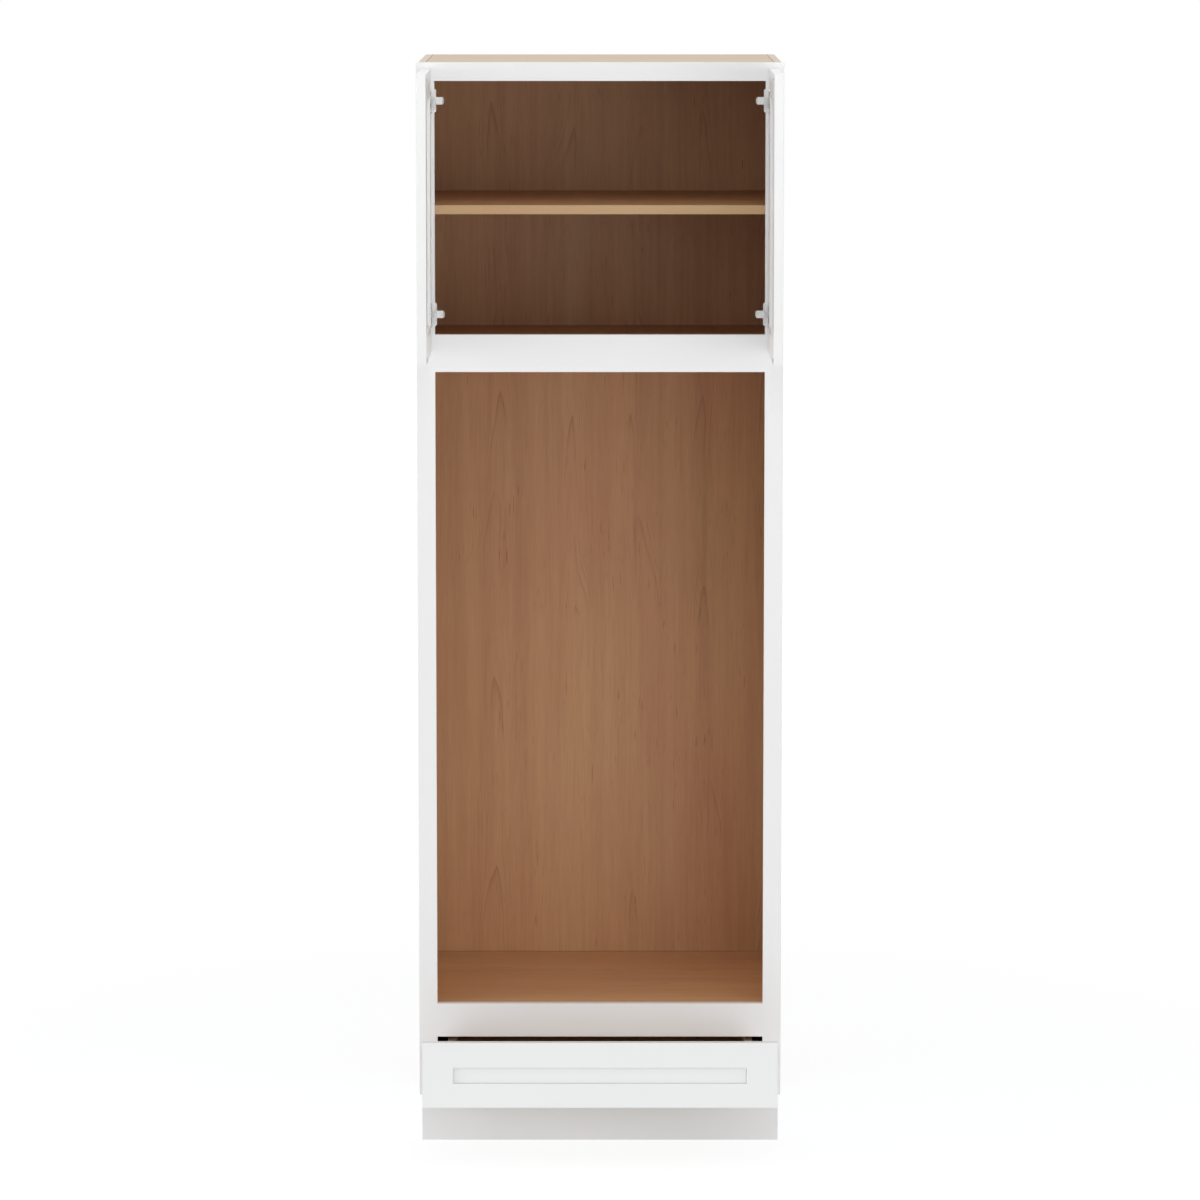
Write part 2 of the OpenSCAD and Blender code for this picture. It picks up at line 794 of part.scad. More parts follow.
module drawer_front_piece(piece) {
    w = 2 * drawer_front_half;
    h = drawer_front_h;
    color(paint) {
        if (piece == "stile_left") drawer_front_place()
            front_stile(w, h, front_stile_w, front_low_h, front_top_h);
        if (piece == "stile_right") drawer_front_place() swapped(w)
            front_stile(w, h, front_stile_w, front_low_h, front_top_h);
        if (piece == "bottom_rail") drawer_front_place()
            front_rail(w, h, front_stile_w, front_low_h, front_top_h);
        if (piece == "top_rail") difference() {
            drawer_front_place() translate([0, 0, h]) mirror([0, 0, 1])
                front_rail(w, h, front_stile_w, front_top_h, front_low_h);
            pulled(1) front_screws();
        }
        if (piece == "panel") drawer_front_place()
            front_panel(w, h, front_stile_w, front_low_h, front_top_h);
    }
}

// Tails of a corner, pointing along -y from the shoulder, grown by gap for the sockets
module tails(gap) {
    pitch = box_h / tail_count;
    base = pitch * tail_root + gap;
    tip = base + tail_len * tail_slope;
    for (i = [0 : tail_count - 1])
        translate([0, box_z + pitch * (i + 0.5)])
            polygon([[0, -base], [0, base], [-tail_len - gap, tip], [-tail_len - gap, -tip]]);
}

// Both corners of a box side, in depth and height
module corner_tails(gap) {
    translate([box_front_y + box_t, 0]) tails(gap);
    translate([box_back_y - box_t, 0]) mirror([1, 0, 0]) tails(gap);
}

// Right-hand side of the drawer box: tails at both ends and a groove for the bottom
module drawer_side() {
    inner = box_outer - box_t;
    front = box_front_y + box_t;
    back = box_back_y - box_t;
    difference() {
        intersection() {
            across(inner, box_outer) {
                translate([front, box_z]) square([back - front, box_h]);
                corner_tails(0);
            }
            box_rounding(inner, box_t);
        }
        block([inner - cut, front, floor_z], [inner + floor_groove, back, floor_z + floor_t]);
    }
}

// Outline w wide from x0, rounded at its top edges and carried along the drawer box
module box_rounding(x0, w) {
    translate([x0, box_back_y, box_z]) rotate([90, 0, 0]) linear_extrude(box_len)
        top_rounded(w, box_h, wall_round);
}

// Front or back of the drawer box, from y0 to y1, with sockets for the tails
module drawer_end(y0, y1) {
    inner = box_outer - box_t;
    difference() {
        intersection() {
            across(-box_outer, box_outer) translate([y0, box_z])
                top_rounded(y1 - y0, box_h, wall_round);
            box_rounding(-box_outer, 2 * box_outer);
        }
        both_sides() across(inner - glue_gap, box_outer + cut) corner_tails(glue_gap);
        block([-inner, box_front_y + box_t - floor_groove, floor_z],
              [inner, box_back_y - box_t + floor_groove, floor_z + floor_t]);
    }
}

module drawer_box_front() {
    difference() {
        drawer_end(box_front_y, box_front_y + box_t);
        front_screws();
    }
}

// The back is notched at both ends for the slides, and bored for their hooks
module drawer_box_back() {
    inner = box_outer - box_t;
    difference() {
        drawer_end(box_back_y - box_t, box_back_y);
        both_sides() {
            block([inner - back_notch, box_back_y - box_t - cut, box_z - cut],
                  [inner, box_back_y + cut, floor_z]);
            hook_peg(hook_fit);
        }
    }
}

// Peg of a runner's hook in the back of the drawer box, or its bore, grown by gap
module hook_peg(gap) {
    translate([slide_x, box_back_y + sheet, hook_z]) rotate([90, 0, 0])
        cylinder(d = hook_d + 2 * gap, h = sheet + hook_deep + gap);
}

// Bottom of the drawer box, in the grooves of all four walls
module drawer_bottom() {
    inner = box_outer - box_t;
    front = box_front_y + box_t;
    back = box_back_y - box_t;
    reach = floor_groove - panel_float;
    block([-inner - reach, front, floor_z], [inner + reach, back, floor_z + floor_t]);
    block([-inner, front - reach, floor_z], [inner, back + reach, floor_z + floor_t]);
}

// Carries a slide's cross-section along y, from y0 towards the wall
module along_slide(y0, len) {
    translate([slide_x, y0 + len, 0]) rotate([90, 0, 0]) linear_extrude(len) children();
}

// Channel with two lips, open at the top, its base at z
module channel_section(z) {
    half = channel_w / 2;
    difference() {
        translate([-half, z]) square([channel_w, channel_h]);
        translate([-half + sheet, z + sheet])
            square([channel_w - 2 * sheet, channel_h - 2 * sheet]);
        translate([-half + lip_w, z + sheet]) square([channel_w - 2 * lip_w, channel_h]);
    }
}

// Middle member: a flange in each channel and a web between them
module middle_section() {
    low = rail_z + channel_h / 2 - sheet / 2;
    high = runner_z + channel_h / 2 - sheet / 2;
    translate([-flange_w / 2, low]) square([flange_w, sheet]);
    translate([-flange_w / 2, high]) square([flange_w, sheet]);
    translate([-sheet / 2, low]) square([sheet, high - low]);
}

// Nylon shoe round one flange, in the channel whose base or top is at z
module shoe_section(z) {
    half = channel_w / 2 - sheet - slide_fit;
    low = z + sheet + slide_fit;
    difference() {
        translate([-half, low]) square([2 * half, channel_h - 2 * sheet - 2 * slide_fit]);
        middle_section();
    }
}

// Countersunk screws that hold a fixed rail to the bottom panel
module slide_screws(gap) {
    for (y = slide_fix_y) translate([slide_x, slide_front_y + y, rail_z]) {
        cylinder(d1 = screw_d, d2 = slide_screw_head_d, h = sheet);
        translate([0, 0, -screw_bite - gap])
            cylinder(d = screw_d, h = screw_bite + gap + glue_gap);
    }
}

module slide_rails() {
    color(steel) both_sides() difference() {
        along_slide(slide_front_y, slide_len) channel_section(rail_z);
        slide_screws(0);
    }
}

// Runners, each with a hook that is bent up behind the drawer box
module slide_runners() {
    end_y = box_back_y + sheet;
    color(steel) pulled(1) both_sides() {
        along_slide(runner_front_y, end_y - runner_front_y)
            translate([0, runner_z + runner_top]) mirror([0, 1]) channel_section(runner_z);
        block([slide_x - hook_w / 2, box_back_y, runner_top - sheet],
              [slide_x + hook_w / 2, end_y, hook_z + hook_w / 2]);
        hook_peg(0);
    }
}

module slide_middle() {
    color(steel) pulled(1 / 2) along_slide(mid_front_y, mid_len) middle_section();
}

// Shoes of one middle member: the lower pair behind, the upper pair in front
module slide_shoes() {
    half = mid_len / 2;
    color(nylon) pulled(1 / 2) {
        for (y = [half, mid_len - shoe_len])
            along_slide(mid_front_y + y, shoe_len) shoe_section(rail_z);
        for (y = [0, half - shoe_len])
            along_slide(mid_front_y + y, shoe_len) shoe_section(runner_z);
    }
}

// Locking devices that clip the drawer box to the front of its runners, with levers
module slide_latches() {
    x = slide_x - channel_w / 2;
    z = floor_z - latch_h;
    color(nylon) pulled(1) both_sides() difference() {
        union() {
            block([x - latch_w, runner_front_y, z], [x, runner_front_y + latch_len, floor_z]);
            translate([0, runner_front_y + lever_w / 2, z]) linear_extrude(lever_t)
                finger(x - latch_w - lever_len, x - latch_w + cut, lever_w, lever_round);
        }
        translate([x - latch_w / 2, runner_front_y + latch_len / 2, z - cut])
            cylinder(d = latch_w / 2, h = latch_h / 2 + cut);
    }
}

// Bumpers on the back of the drawer front, against the stiles
module drawer_bumpers() {
    inset = bumper_d / 2 + bumper_edge;
    color(rubber) pulled(1) both_sides()
        for (z = [drawer_front_z + inset, drawer_front_z + drawer_front_h - inset])
            translate([drawer_front_half - inset, door_back_y, z]) rotate([-90, 0, 0])
                cylinder(d = bumper_d, h = bumper_t);
}

color(paint) on_side("left") side_panel();  // side_panel_left
color(paint) on_side("right") side_panel();  // side_panel_right
top_panel();
back_panel();
upper_deck();
oven_deck();
bottom_panel();
toe_kick();
support_cleats();
color(paint) on_side("left") frame_stile();  // frame_stile_left
color(paint) on_side("right") frame_stile();  // frame_stile_right
frame_rail(top_rail_z, top_rail_h);  // frame_top_rail
frame_rail(middle_rail_z, middle_rail_h);  // frame_middle_rail
frame_rail(oven_rail_z, oven_rail_h);  // frame_oven_rail
frame_rail(toe_h, bottom_rail_h);  // frame_bottom_rail
adjustable_shelf();
shelf_pins();
hinge_plates();
hinge_arms();
hinge_plate_screws();
hinge_arm_screws();
slide_rails();
color(steel) both_sides() slide_screws(0);  // slide_rail_screws
on_side("left") door_piece("hinge_stile");  // door_left_hinge_stile
on_side("left") door_piece("free_stile");  // door_left_free_stile
on_side("left") door_piece("top_rail");  // door_left_top_rail
on_side("left") door_piece("bottom_rail");  // door_left_bottom_rail
on_side("left") door_piece("panel");  // door_left_panel
on_side("left") door_piece("hinge_cups");  // door_left_hinge_cups
on_side("left") door_piece("hinge_pins");  // door_left_hinge_pins
on_side("left") door_piece("cup_screws");  // door_left_cup_screws
on_side("left") door_piece("bumpers");  // door_left_bumpers
on_side("right") door_piece("hinge_stile");  // door_right_hinge_stile
on_side("right") door_piece("free_stile");  // door_right_free_stile
on_side("right") door_piece("top_rail");  // door_right_top_rail
on_side("right") door_piece("bottom_rail");  // door_right_bottom_rail
on_side("right") door_piece("panel");  // door_right_panel
on_side("right") door_piece("hinge_cups");  // door_right_hinge_cups
on_side("right") door_piece("hinge_pins");  // door_right_hinge_pins
on_side("right") door_piece("cup_screws");  // door_right_cup_screws
on_side("right") door_piece("bumpers");  // door_right_bumpers
drawer_front_piece("stile_left");  // drawer_front_stile_left
drawer_front_piece("stile_right");  // drawer_front_stile_right
drawer_front_piece("top_rail");  // drawer_front_top_rail
drawer_front_piece("bottom_rail");  // drawer_front_bottom_rail
drawer_front_piece("panel");  // drawer_front_panel
color(maple) pulled(1) on_side("left") drawer_side();  // drawer_side_left
color(maple) pulled(1) on_side("right") drawer_side();  // drawer_side_right
color(maple) pulled(1) drawer_box_front();
color(maple) pulled(1) drawer_box_back();
color(maple) pulled(1) drawer_bottom();
slide_runners();
slide_latches();
color(steel) pulled(1) front_screws();  // drawer_front_screws
drawer_bumpers();
on_side("left") slide_middle();  // slide_middle_left
on_side("right") slide_middle();  // slide_middle_right
on_side("left") slide_shoes();  // slide_shoes_left
on_side("right") slide_shoes();  // slide_shoes_right
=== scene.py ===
# %% [markdown]
# # A double oven cabinet
# This lesson dresses a tall kitchen cabinet that was modelled in CAD. The CAD pieces
# already have their true shapes and places, so most of the work is in the finishes:
# white lacquer, maple plywood and solid maple, and plated steel. A few small pieces
# that CAD keeps plain, such as the screws, are worked out here as surfaces.

# %% The frame and its box
import math

import bpy
import numpy as np
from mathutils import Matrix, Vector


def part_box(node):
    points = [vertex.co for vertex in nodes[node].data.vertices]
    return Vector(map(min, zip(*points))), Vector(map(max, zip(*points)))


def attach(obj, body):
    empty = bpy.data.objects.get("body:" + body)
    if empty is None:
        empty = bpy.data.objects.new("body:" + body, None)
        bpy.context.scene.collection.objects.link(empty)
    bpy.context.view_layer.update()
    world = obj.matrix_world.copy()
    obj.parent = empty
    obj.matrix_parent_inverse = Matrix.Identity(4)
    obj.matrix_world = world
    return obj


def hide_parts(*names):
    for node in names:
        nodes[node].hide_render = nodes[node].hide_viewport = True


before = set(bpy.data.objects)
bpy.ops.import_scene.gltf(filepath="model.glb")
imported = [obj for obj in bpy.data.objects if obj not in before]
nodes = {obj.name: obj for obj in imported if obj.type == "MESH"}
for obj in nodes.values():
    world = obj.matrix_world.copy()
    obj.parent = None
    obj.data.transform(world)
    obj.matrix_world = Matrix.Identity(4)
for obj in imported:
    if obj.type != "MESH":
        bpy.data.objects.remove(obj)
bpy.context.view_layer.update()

# %% [markdown]
# ## Sizes
# Blender works in metres. These are the few sizes of the cabinet that the finishes
# need, because a finish changes where the lacquer ends or where a panel's edge shows.
# A point counts as lying on a face when it is within AT_FACE of it.

# %% Sizes of the real cabinet
MM = 0.001
side_low, side_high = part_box("side_panel_right")
box_half = side_high.x
side_inner = side_low.x
box_top = side_high.z
AT_FACE = 0.05 * MM
print("half width of the box:", round(box_half, 4), "top:", round(box_top, 4))

# %% [markdown]
# ## Camera
# The photograph looks down a little on the cabinet's top, from far off and through a
# long lens, which keeps the sides almost parallel. The camera here stands twelve metres
# away and is tilted down by seven degrees. A short lens near by would show the same
# pieces, but the uprights would lean much more, so the long lens is chosen.

# %% Camera
CAMERA_PLACE = (0.0, -12.5693, 2.6568)
CAMERA_TILT = 7.1015
LENS = 173.01

scene = bpy.context.scene
camera_data = bpy.data.cameras.new("camera")
camera_data.sensor_width = 36.0
camera_data.lens = LENS
camera_data.clip_end = 100.0
camera = bpy.data.objects.new("camera", camera_data)
scene.collection.objects.link(camera)
camera.location = CAMERA_PLACE
camera.rotation_euler = (math.radians(90.0 - CAMERA_TILT), 0.0, 0.0)
scene.camera = camera
print("camera at", CAMERA_PLACE, "tilted by", CAMERA_TILT, "degrees, lens", LENS, "mm")

# %% [markdown]
# ## A short way to write a graph of nodes
# The world, the floor and every finish are small graphs of nodes. This helper adds a
# node with one call, and most calls return the node's output, so that a graph reads
# like a few lines of arithmetic. Making each node and each link by hand gives the same
# graph, in three times as many lines.

# %% Helper for graphs


class Graph:
    """The nodes of a world or a material, and short calls that add one node each."""

    def __init__(self, owner):
        owner.use_nodes = True
        self.tree = owner.node_tree
        self.tree.nodes.clear()

    def put(self, socket, value):
        """Links another node's output to a socket, or sets the socket's own value."""
        if isinstance(value, bpy.types.NodeSocket):
            self.tree.links.new(value, socket)
        else:
            socket.default_value = value

    def add(self, kind, settings=None, **inputs):
        """A new node. In the name of an input, an underscore stands for a space."""
        node = self.tree.nodes.new(kind)
        for key, value in (settings or {}).items():
            setattr(node, key, value)
        for key, value in inputs.items():
            self.put(node.inputs[key.replace("_", " ")], value)
        return node

    def fill(self, kind, settings, *values):
        """The first output of a new node, whose sockets are filled in their order."""
        node = self.add(kind, settings)
        for socket, value in zip(node.inputs, values):
            self.put(socket, value)
        return node.outputs[0]

    def math(self, operation, *values, clamp=False):
        """The result of one operation, such as MULTIPLY or MAXIMUM, on its values."""
        return self.fill("ShaderNodeMath", {"operation": operation, "use_clamp": clamp},
                         *values)

    def step(self, value, low, high, at_low=0.0, at_high=1.0, shape="LINEAR"):
        """at_low below low, at_high above high, and a straight line between them.

        With the shape SMOOTHSTEP the line is a smooth curve instead.
        """
        return self.add("ShaderNodeMapRange", {"interpolation_type": shape}, Value=value,
                        From_Min=low, From_Max=high, To_Min=at_low,
                        To_Max=at_high).outputs["Result"]


print("calls of a graph:", [name for name in vars(Graph) if not name.startswith("_")])

# %% [markdown]
# ## Light
# A studio product picture has a bright room and a few broad soft lamps. The world gives
# the room: it is white where the camera or a mirror sees it, and dimmer as a light. The
# largest lamp stands low in front and to the right, so the right third of the inside
# lies in the soft shadow of the face frame. Two lamps far to the sides light the insides
# of the open doors, one hangs high in front, and one straight above the top. Three small
# ones above the doors keep the rail between them as white as the rest.

# %% World
ROOM = 0.45

scene.view_settings.view_transform = "Standard"
scene.world = bpy.data.worlds.new("studio")
room = Graph(scene.world)
ray = room.add("ShaderNodeLightPath").outputs
mirrored = room.math("MAXIMUM", ray["Is Glossy Ray"], ray["Is Transmission Ray"])
seen = room.math("MAXIMUM", ray["Is Camera Ray"], mirrored)
sky = room.add("ShaderNodeBackground", Color=(1.0, 1.0, 1.0, 1.0),
               Strength=room.step(seen, 0.0, 1.0, ROOM, 1.0))
room.add("ShaderNodeOutputWorld", Surface=sky.outputs[0])
print("light of the room:", ROOM)

# %% Lamps
AT_FRONT = (0.0, -0.6, 1.1)
AT_DOORS = (0.0, -0.9, 1.6)
AT_CUPBOARD = (0.0, -0.6, 1.9)
AT_TOP = (0.0, -0.2, 2.3)
LAMPS = {
    # name: (place, aim, size in metres, power in watts)
    "key": ((2.6, -6.2, 0.95), AT_FRONT, 2.8, 59.0),
    "far left": ((-5.5, -3.0, 1.8), AT_DOORS, 2.4, 106.0),
    "far right": ((5.5, -3.2, 1.8), AT_DOORS, 2.4, 48.0),
    "overhead": ((0.3, -3.2, 5.2), AT_FRONT, 2.4, 20.0),
    "straight above": ((0.0, -0.2, 5.2), AT_TOP, 1.6, 25.0),
    "above left": ((-1.7, -2.9, 3.0), AT_CUPBOARD, 1.2, 5.0),
    "above right": ((1.7, -2.9, 3.0), AT_CUPBOARD, 1.2, 4.6),
    "above the doors": ((0.0, -1.9, 3.3), AT_CUPBOARD, 1.0, 4.6),
}


def soft_lamp(name, place, aim, size, power):
    """A square area lamp that looks from place to aim.

    A lamp looks along its own -z. So it is tipped about x by the angle between the
    vertical and the line from aim to place, and then turned about z to face that line.
    """
    data = bpy.data.lights.new(name, "AREA")
    data.shape = "SQUARE"
    data.size = size
    data.energy = power
    lamp = bpy.data.objects.new(name, data)
    scene.collection.objects.link(lamp)
    lamp.location = place
    away = np.array(place) - np.array(aim)
    flat = math.hypot(away[0], away[1])
    lamp.rotation_euler = (math.atan2(flat, away[2]), 0.0,
                           math.atan2(away[0], -away[1]))


for name, (place, aim, size, power) in LAMPS.items():
    soft_lamp(name, place, aim, size, power)
print("lamps:", sorted(LAMPS))

# %% [markdown]
# ## Floor
# The floor of the picture is as white as its background, so only a trace of shadow
# shows. The floor is matt and nearly white, and to the camera it adds a share of plain
# light, which lifts it to the white of the background but keeps the soft shadow. Far
# from the cabinet that share is the whole, so the floor has no visible end. Near the
# cabinet the floor also gives a little light of its own, like a light table, and that
# is what keeps the toe board under the open drawer pale. It is a little cool, to offset
# the warm light that the wood throws down.

# %% Floor
FLOOR_HALF = 30.0

floor_mesh = bpy.data.meshes.new("floor")
floor_mesh.from_pydata([(-FLOOR_HALF, -FLOOR_HALF, 0.0), (FLOOR_HALF, -FLOOR_HALF, 0.0),
                        (FLOOR_HALF, FLOOR_HALF, 0.0), (-FLOOR_HALF, FLOOR_HALF, 0.0)],
                       [], [(0, 1, 2, 3)])
floor = bpy.data.objects.new("floor", floor_mesh)
scene.collection.objects.link(floor)
print("floor:", 2 * FLOOR_HALF, "m wide")

# %% Finish of the floor
FLOOR_WHITE = (0.90, 0.90, 0.90, 1.0)
FADE_START = 0.9
FADE_END = 2.6
PLAIN_LIGHT = 1.03
PLAIN_SHARE = 0.82
TABLE_COLOUR = (0.88, 1.0, 1.07, 1.0)
TABLE_LIGHT = 0.22

floor_finish = bpy.data.materials.new("floor")
ground = Graph(floor_finish)
matt = ground.add("ShaderNodeBsdfDiffuse", Color=FLOOR_WHITE).outputs[0]
plain = ground.add("ShaderNodeEmission", Strength=PLAIN_LIGHT).outputs[0]
to_camera = ground.add("ShaderNodeLightPath").outputs["Is Camera Ray"]
spot = ground.add("ShaderNodeTexCoord").outputs["Object"]
reach = ground.add("ShaderNodeVectorMath", {"operation": "LENGTH"},
                   Vector=spot).outputs["Value"]
share = ground.step(reach, FADE_START, FADE_END, PLAIN_SHARE, 1.0, "SMOOTHSTEP")
near = ground.step(reach, FADE_START, FADE_END, TABLE_LIGHT, 0.0, "SMOOTHSTEP")
table = ground.add("ShaderNodeEmission", Color=TABLE_COLOUR, Strength=near).outputs[0]
lit = ground.fill("ShaderNodeAddShader", None, matt, table)
blend = ground.fill("ShaderNodeMixShader", None,
                    ground.math("MULTIPLY", to_camera, share), lit, plain)
ground.add("ShaderNodeOutputMaterial", Surface=blend)
floor_mesh.materials.append(floor_finish)
print("the floor fades out from", FADE_START, "to", FADE_END, "m")

# %% [markdown]
# ## Finishes
# A finish is a graph that ends in a shader. All its patterns are fixed to the object's
# own coordinates, in metres, so no piece has to be unwrapped, and the grain runs on
# round an edge as it does in real wood.

# %% Helper for finishes
# A noise runs from 0 to 1, but most of it lies between these two values.
NOISE_RANGE = (0.3, 0.7)


class Finish(Graph):
    """A material's graph, with the place on the object and its x, y and z at hand."""

    def __init__(self, name):
        self.material = bpy.data.materials.new(name)
        super().__init__(self.material)
        self.place = self.add("ShaderNodeTexCoord").outputs["Object"]
        split = self.add("ShaderNodeSeparateXYZ", Vector=self.place)
        self.x, self.y, self.z = split.outputs

    def vector(self, x, y, z):
        """One place from three coordinates."""
        return self.add("ShaderNodeCombineXYZ", X=x, Y=y, Z=z).outputs[0]

    def noise(self, vector, scale, detail=3.0, roughness=0.5):
        """Soft noise of 0 to 1, with scale waves in a metre."""
        return self.add("ShaderNodeTexNoise", Vector=vector, Scale=scale, Detail=detail,
                        Roughness=roughness).outputs[0]

    def mix(self, factor, a, b):
        """The colour a where factor is 0, the colour b where it is 1."""
        node = self.add("ShaderNodeMix", {"data_type": "RGBA"})
        for socket, value in zip((node.inputs[0], *node.inputs[6:8]), (factor, a, b)):
            self.put(socket, value)
        return node.outputs[2]

    def done(self, colour, roughness, height, depth, **constants):
        """Ends the graph in a Principled shader, with height as a bump of depth metres."""
        bump = self.add("ShaderNodeBump", Height=height, Distance=depth)
        shader = self.add("ShaderNodeBsdfPrincipled", Base_Color=colour,
                          Roughness=roughness, Normal=bump.outputs[0], **constants)
        self.add("ShaderNodeOutputMaterial", Surface=shader.outputs[0])
        return self.material


def tone(red, green, blue):
    """A colour given as a picture editor shows it, 0 to 255, as linear light."""
    share = np.array([red, green, blue]) / 255.0
    low = share / 12.92
    high = ((share + 0.055) / 1.055) ** 2.4
    return tuple(float(v) for v in np.where(share <= 0.04045, low, high)) + (1.0,)


print("a middle grey is", round(tone(188, 188, 188)[0], 3), "of full light")

# %% [markdown]
# ## White lacquer
# The frame, the doors and the drawer front are sprayed with a satin white lacquer over
# wood. Such a coat is almost even: it has a faint orange-peel ripple, it follows the
# grain of the wood very slightly, and its sheen varies a little from place to place.
# Three soft noises give exactly that, one of them drawn out along the grain.

# %% White lacquer
AXES = {"x": 0, "y": 1, "z": 2}
LACQUER_WHITE = tone(240, 240, 240)
LACQUER_CLOUDED = tone(236, 236, 236)
LACQUER_DEPTH = 0.06 * MM


def along_grain(finish, axis, draw_out):
    """Coordinates in which the grain's own axis is shrunk, so noise runs along it."""
    parts = [finish.x, finish.y, finish.z]
    parts[AXES[axis]] = finish.math("MULTIPLY", parts[AXES[axis]], 1.0 / draw_out)
    return finish.vector(*parts)


def lacquer_parts(finish, axis):
    """Colour, roughness and height of the lacquer, with the grain along axis."""
    peel = finish.noise(finish.place, scale=420.0, detail=2.0)
    grain = finish.noise(along_grain(finish, axis, draw_out=14.0), scale=260.0)
    cloud = finish.noise(finish.place, scale=3.0, detail=2.0)
    colour = finish.mix(cloud, LACQUER_WHITE, LACQUER_CLOUDED)
    roughness = finish.step(cloud, *NOISE_RANGE, at_low=0.34, at_high=0.42)
    height = finish.math("ADD", finish.math("MULTIPLY", peel, 0.5),
                         finish.math("MULTIPLY", grain, 0.5))
    return colour, roughness, height


def sprayed(finish, colour, roughness, height):
    """Ends a finish as satin lacquer, which has a thin clear coat of its own."""
    return finish.done(colour, roughness, height, LACQUER_DEPTH, Coat_Weight=0.15,
                       Coat_Roughness=0.3)


def lacquer(name, axis):
    """The lacquer of a piece whose grain runs along axis."""
    finish = Finish(name)
    return sprayed(finish, *lacquer_parts(finish, axis))


lacquer_upright = lacquer("lacquer_upright", "z")
lacquer_across = lacquer("lacquer_across", "x")
lacquer_deep = lacquer("lacquer_deep", "y")
print("lacquer made for upright, cross and deep pieces")

# %% [markdown]
# ## Panels of the doors and the drawer front
# A flat panel runs into grooves in the frame around it. There the lacquer has a fine
# dark joint, and the narrow gap holds shade, so a line is drawn in the colour that is
# partly the joint and partly painted shadow. The gap could be real, but it is under a
# millimetre wide, so it is a line in the colour. The doors' panels are seen at a
# glancing angle, where the same line looks denser, so their line is weaker.

# %% Lacquer of the panels
PANEL_REACH = 8.5 * MM
JOINT_DARK = 0.5 * MM
JOINT_END = 1.1 * MM
# The grey of the dark joint around a panel and of the painted shadow in its gap.
JOINT_AND_SHADOW_GREY = tone(120, 120, 120)


def panel_lacquer(name, node, grain_axis, across_axis, strength):
    """Lacquer with a dark joint around a panel.

    The line stands for the dark joint and for painted shadow in the gap. The panel
    reaches into the grooves by PANEL_REACH. So the joint is where the distance to the
    nearest edge of the panel's own box, the least of four differences, is just that
    reach. From there inwards it is darkest up to JOINT_DARK, and gone at JOINT_END.
    """
    low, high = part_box(node)
    finish = Finish(name)
    colour, roughness, height = lacquer_parts(finish, grain_axis)
    inside = []
    for axis, value in (("x", finish.x), ("y", finish.y), ("z", finish.z)):
        if axis in (across_axis, "z"):
            inside.append(finish.math("SUBTRACT", value, getattr(low, axis)))
            inside.append(finish.math("SUBTRACT", getattr(high, axis), value))
    edge = finish.math("MINIMUM", finish.math("MINIMUM", *inside[:2]),
                       finish.math("MINIMUM", *inside[2:]))
    joint = finish.step(edge, PANEL_REACH + JOINT_DARK, PANEL_REACH + JOINT_END,
                        at_low=strength, at_high=0.0)
    # The grey is mixed in along the joint: the dark joint and painted shadow of the gap.
    return sprayed(finish, finish.mix(joint, colour, JOINT_AND_SHADOW_GREY), roughness, height)


panel_white = {"drawer_front_panel": panel_lacquer(
    "drawer_panel_lacquer", "drawer_front_panel", "x", "x", strength=0.85)}
for side in ("left", "right"):
    node = f"door_{side}_panel"
    panel_white[node] = panel_lacquer(node + "_lacquer", node, "z", "y", strength=0.4)
print("joints drawn on", sorted(panel_white))

# %% [markdown]
# ## Maple
# The inside is maple veneer on plywood, and the drawer box is solid maple sapwood, which
# is paler. Maple is calm: its colour drifts between pink and straw, with hair-fine
# streaks, a few short dark ticks, and thin growth lines that rise to narrow points like
# flames. The lines are worked out as a solid log that leans a little to the board,
# because then pointed flames, straight edge grain and end grain all come out of one
# formula.

# %% Maple
MAPLE_DARK = tone(158, 108, 70)
MAPLE_TICK = tone(108, 70, 45)
VENEER = (tone(205, 155, 113), tone(207, 165, 121), MAPLE_DARK)
# A darker copy of the veneer, used only on the shelf: painted shade over the shelf.
SHADED_VENEER = (tone(189, 140, 101), tone(191, 148, 107), MAPLE_DARK)
SAPWOOD = (tone(229, 202, 175), tone(231, 209, 183), MAPLE_DARK)

# Noises of the wood: (share of the scale along the grain, waves in a metre across it,
# detail, roughness)
STREAKS = (0.03, 520.0, 4.0, 0.7)
BANDS = (0.03, 24.0, 5.0, 0.7)
HAZE = (0.3, 6.0, 3.0, 0.5)
TICKS = (0.06, 330.0, 1.0, 0.5)
CROWDS = (0.25, 18.0, 2.0, 0.5)
BENDS = (0.3, 8.0, 2.0, 0.4)
PATCHES = (0.8, 7.0, 1.0, 0.5)


def grain_frame(finish, axis, thickness):
    """The object's coordinates as (along the grain, across the face, through it)."""
    parts = {"x": finish.x, "y": finish.y, "z": finish.z}
    along, through = parts.pop(axis), parts.pop(thickness)
    (across,) = parts.values()
    return along, across, through


def wood_noise(finish, along, across, through, share, scale, detail, roughness):
    """Noise that is 1 / share times as long along the grain as it is wide."""
    drawn = finish.vector(finish.math("MULTIPLY", along, share), across, through)
    return finish.noise(drawn, scale, detail, roughness)


# %% Growth lines of maple
LEAF_LUCK = 3.0
BEND_WIDTH = 0.12
FLAME_SLOPE = 2.5
LOG_LEAN = 8.0
LINE_SHARPNESS = 9.0
LEAF_INNER = 0.2
LEAF_OUTER = 0.4
OUTER_WEIGHT = 0.2
PATCH_RANGE = (0.47, 0.59)


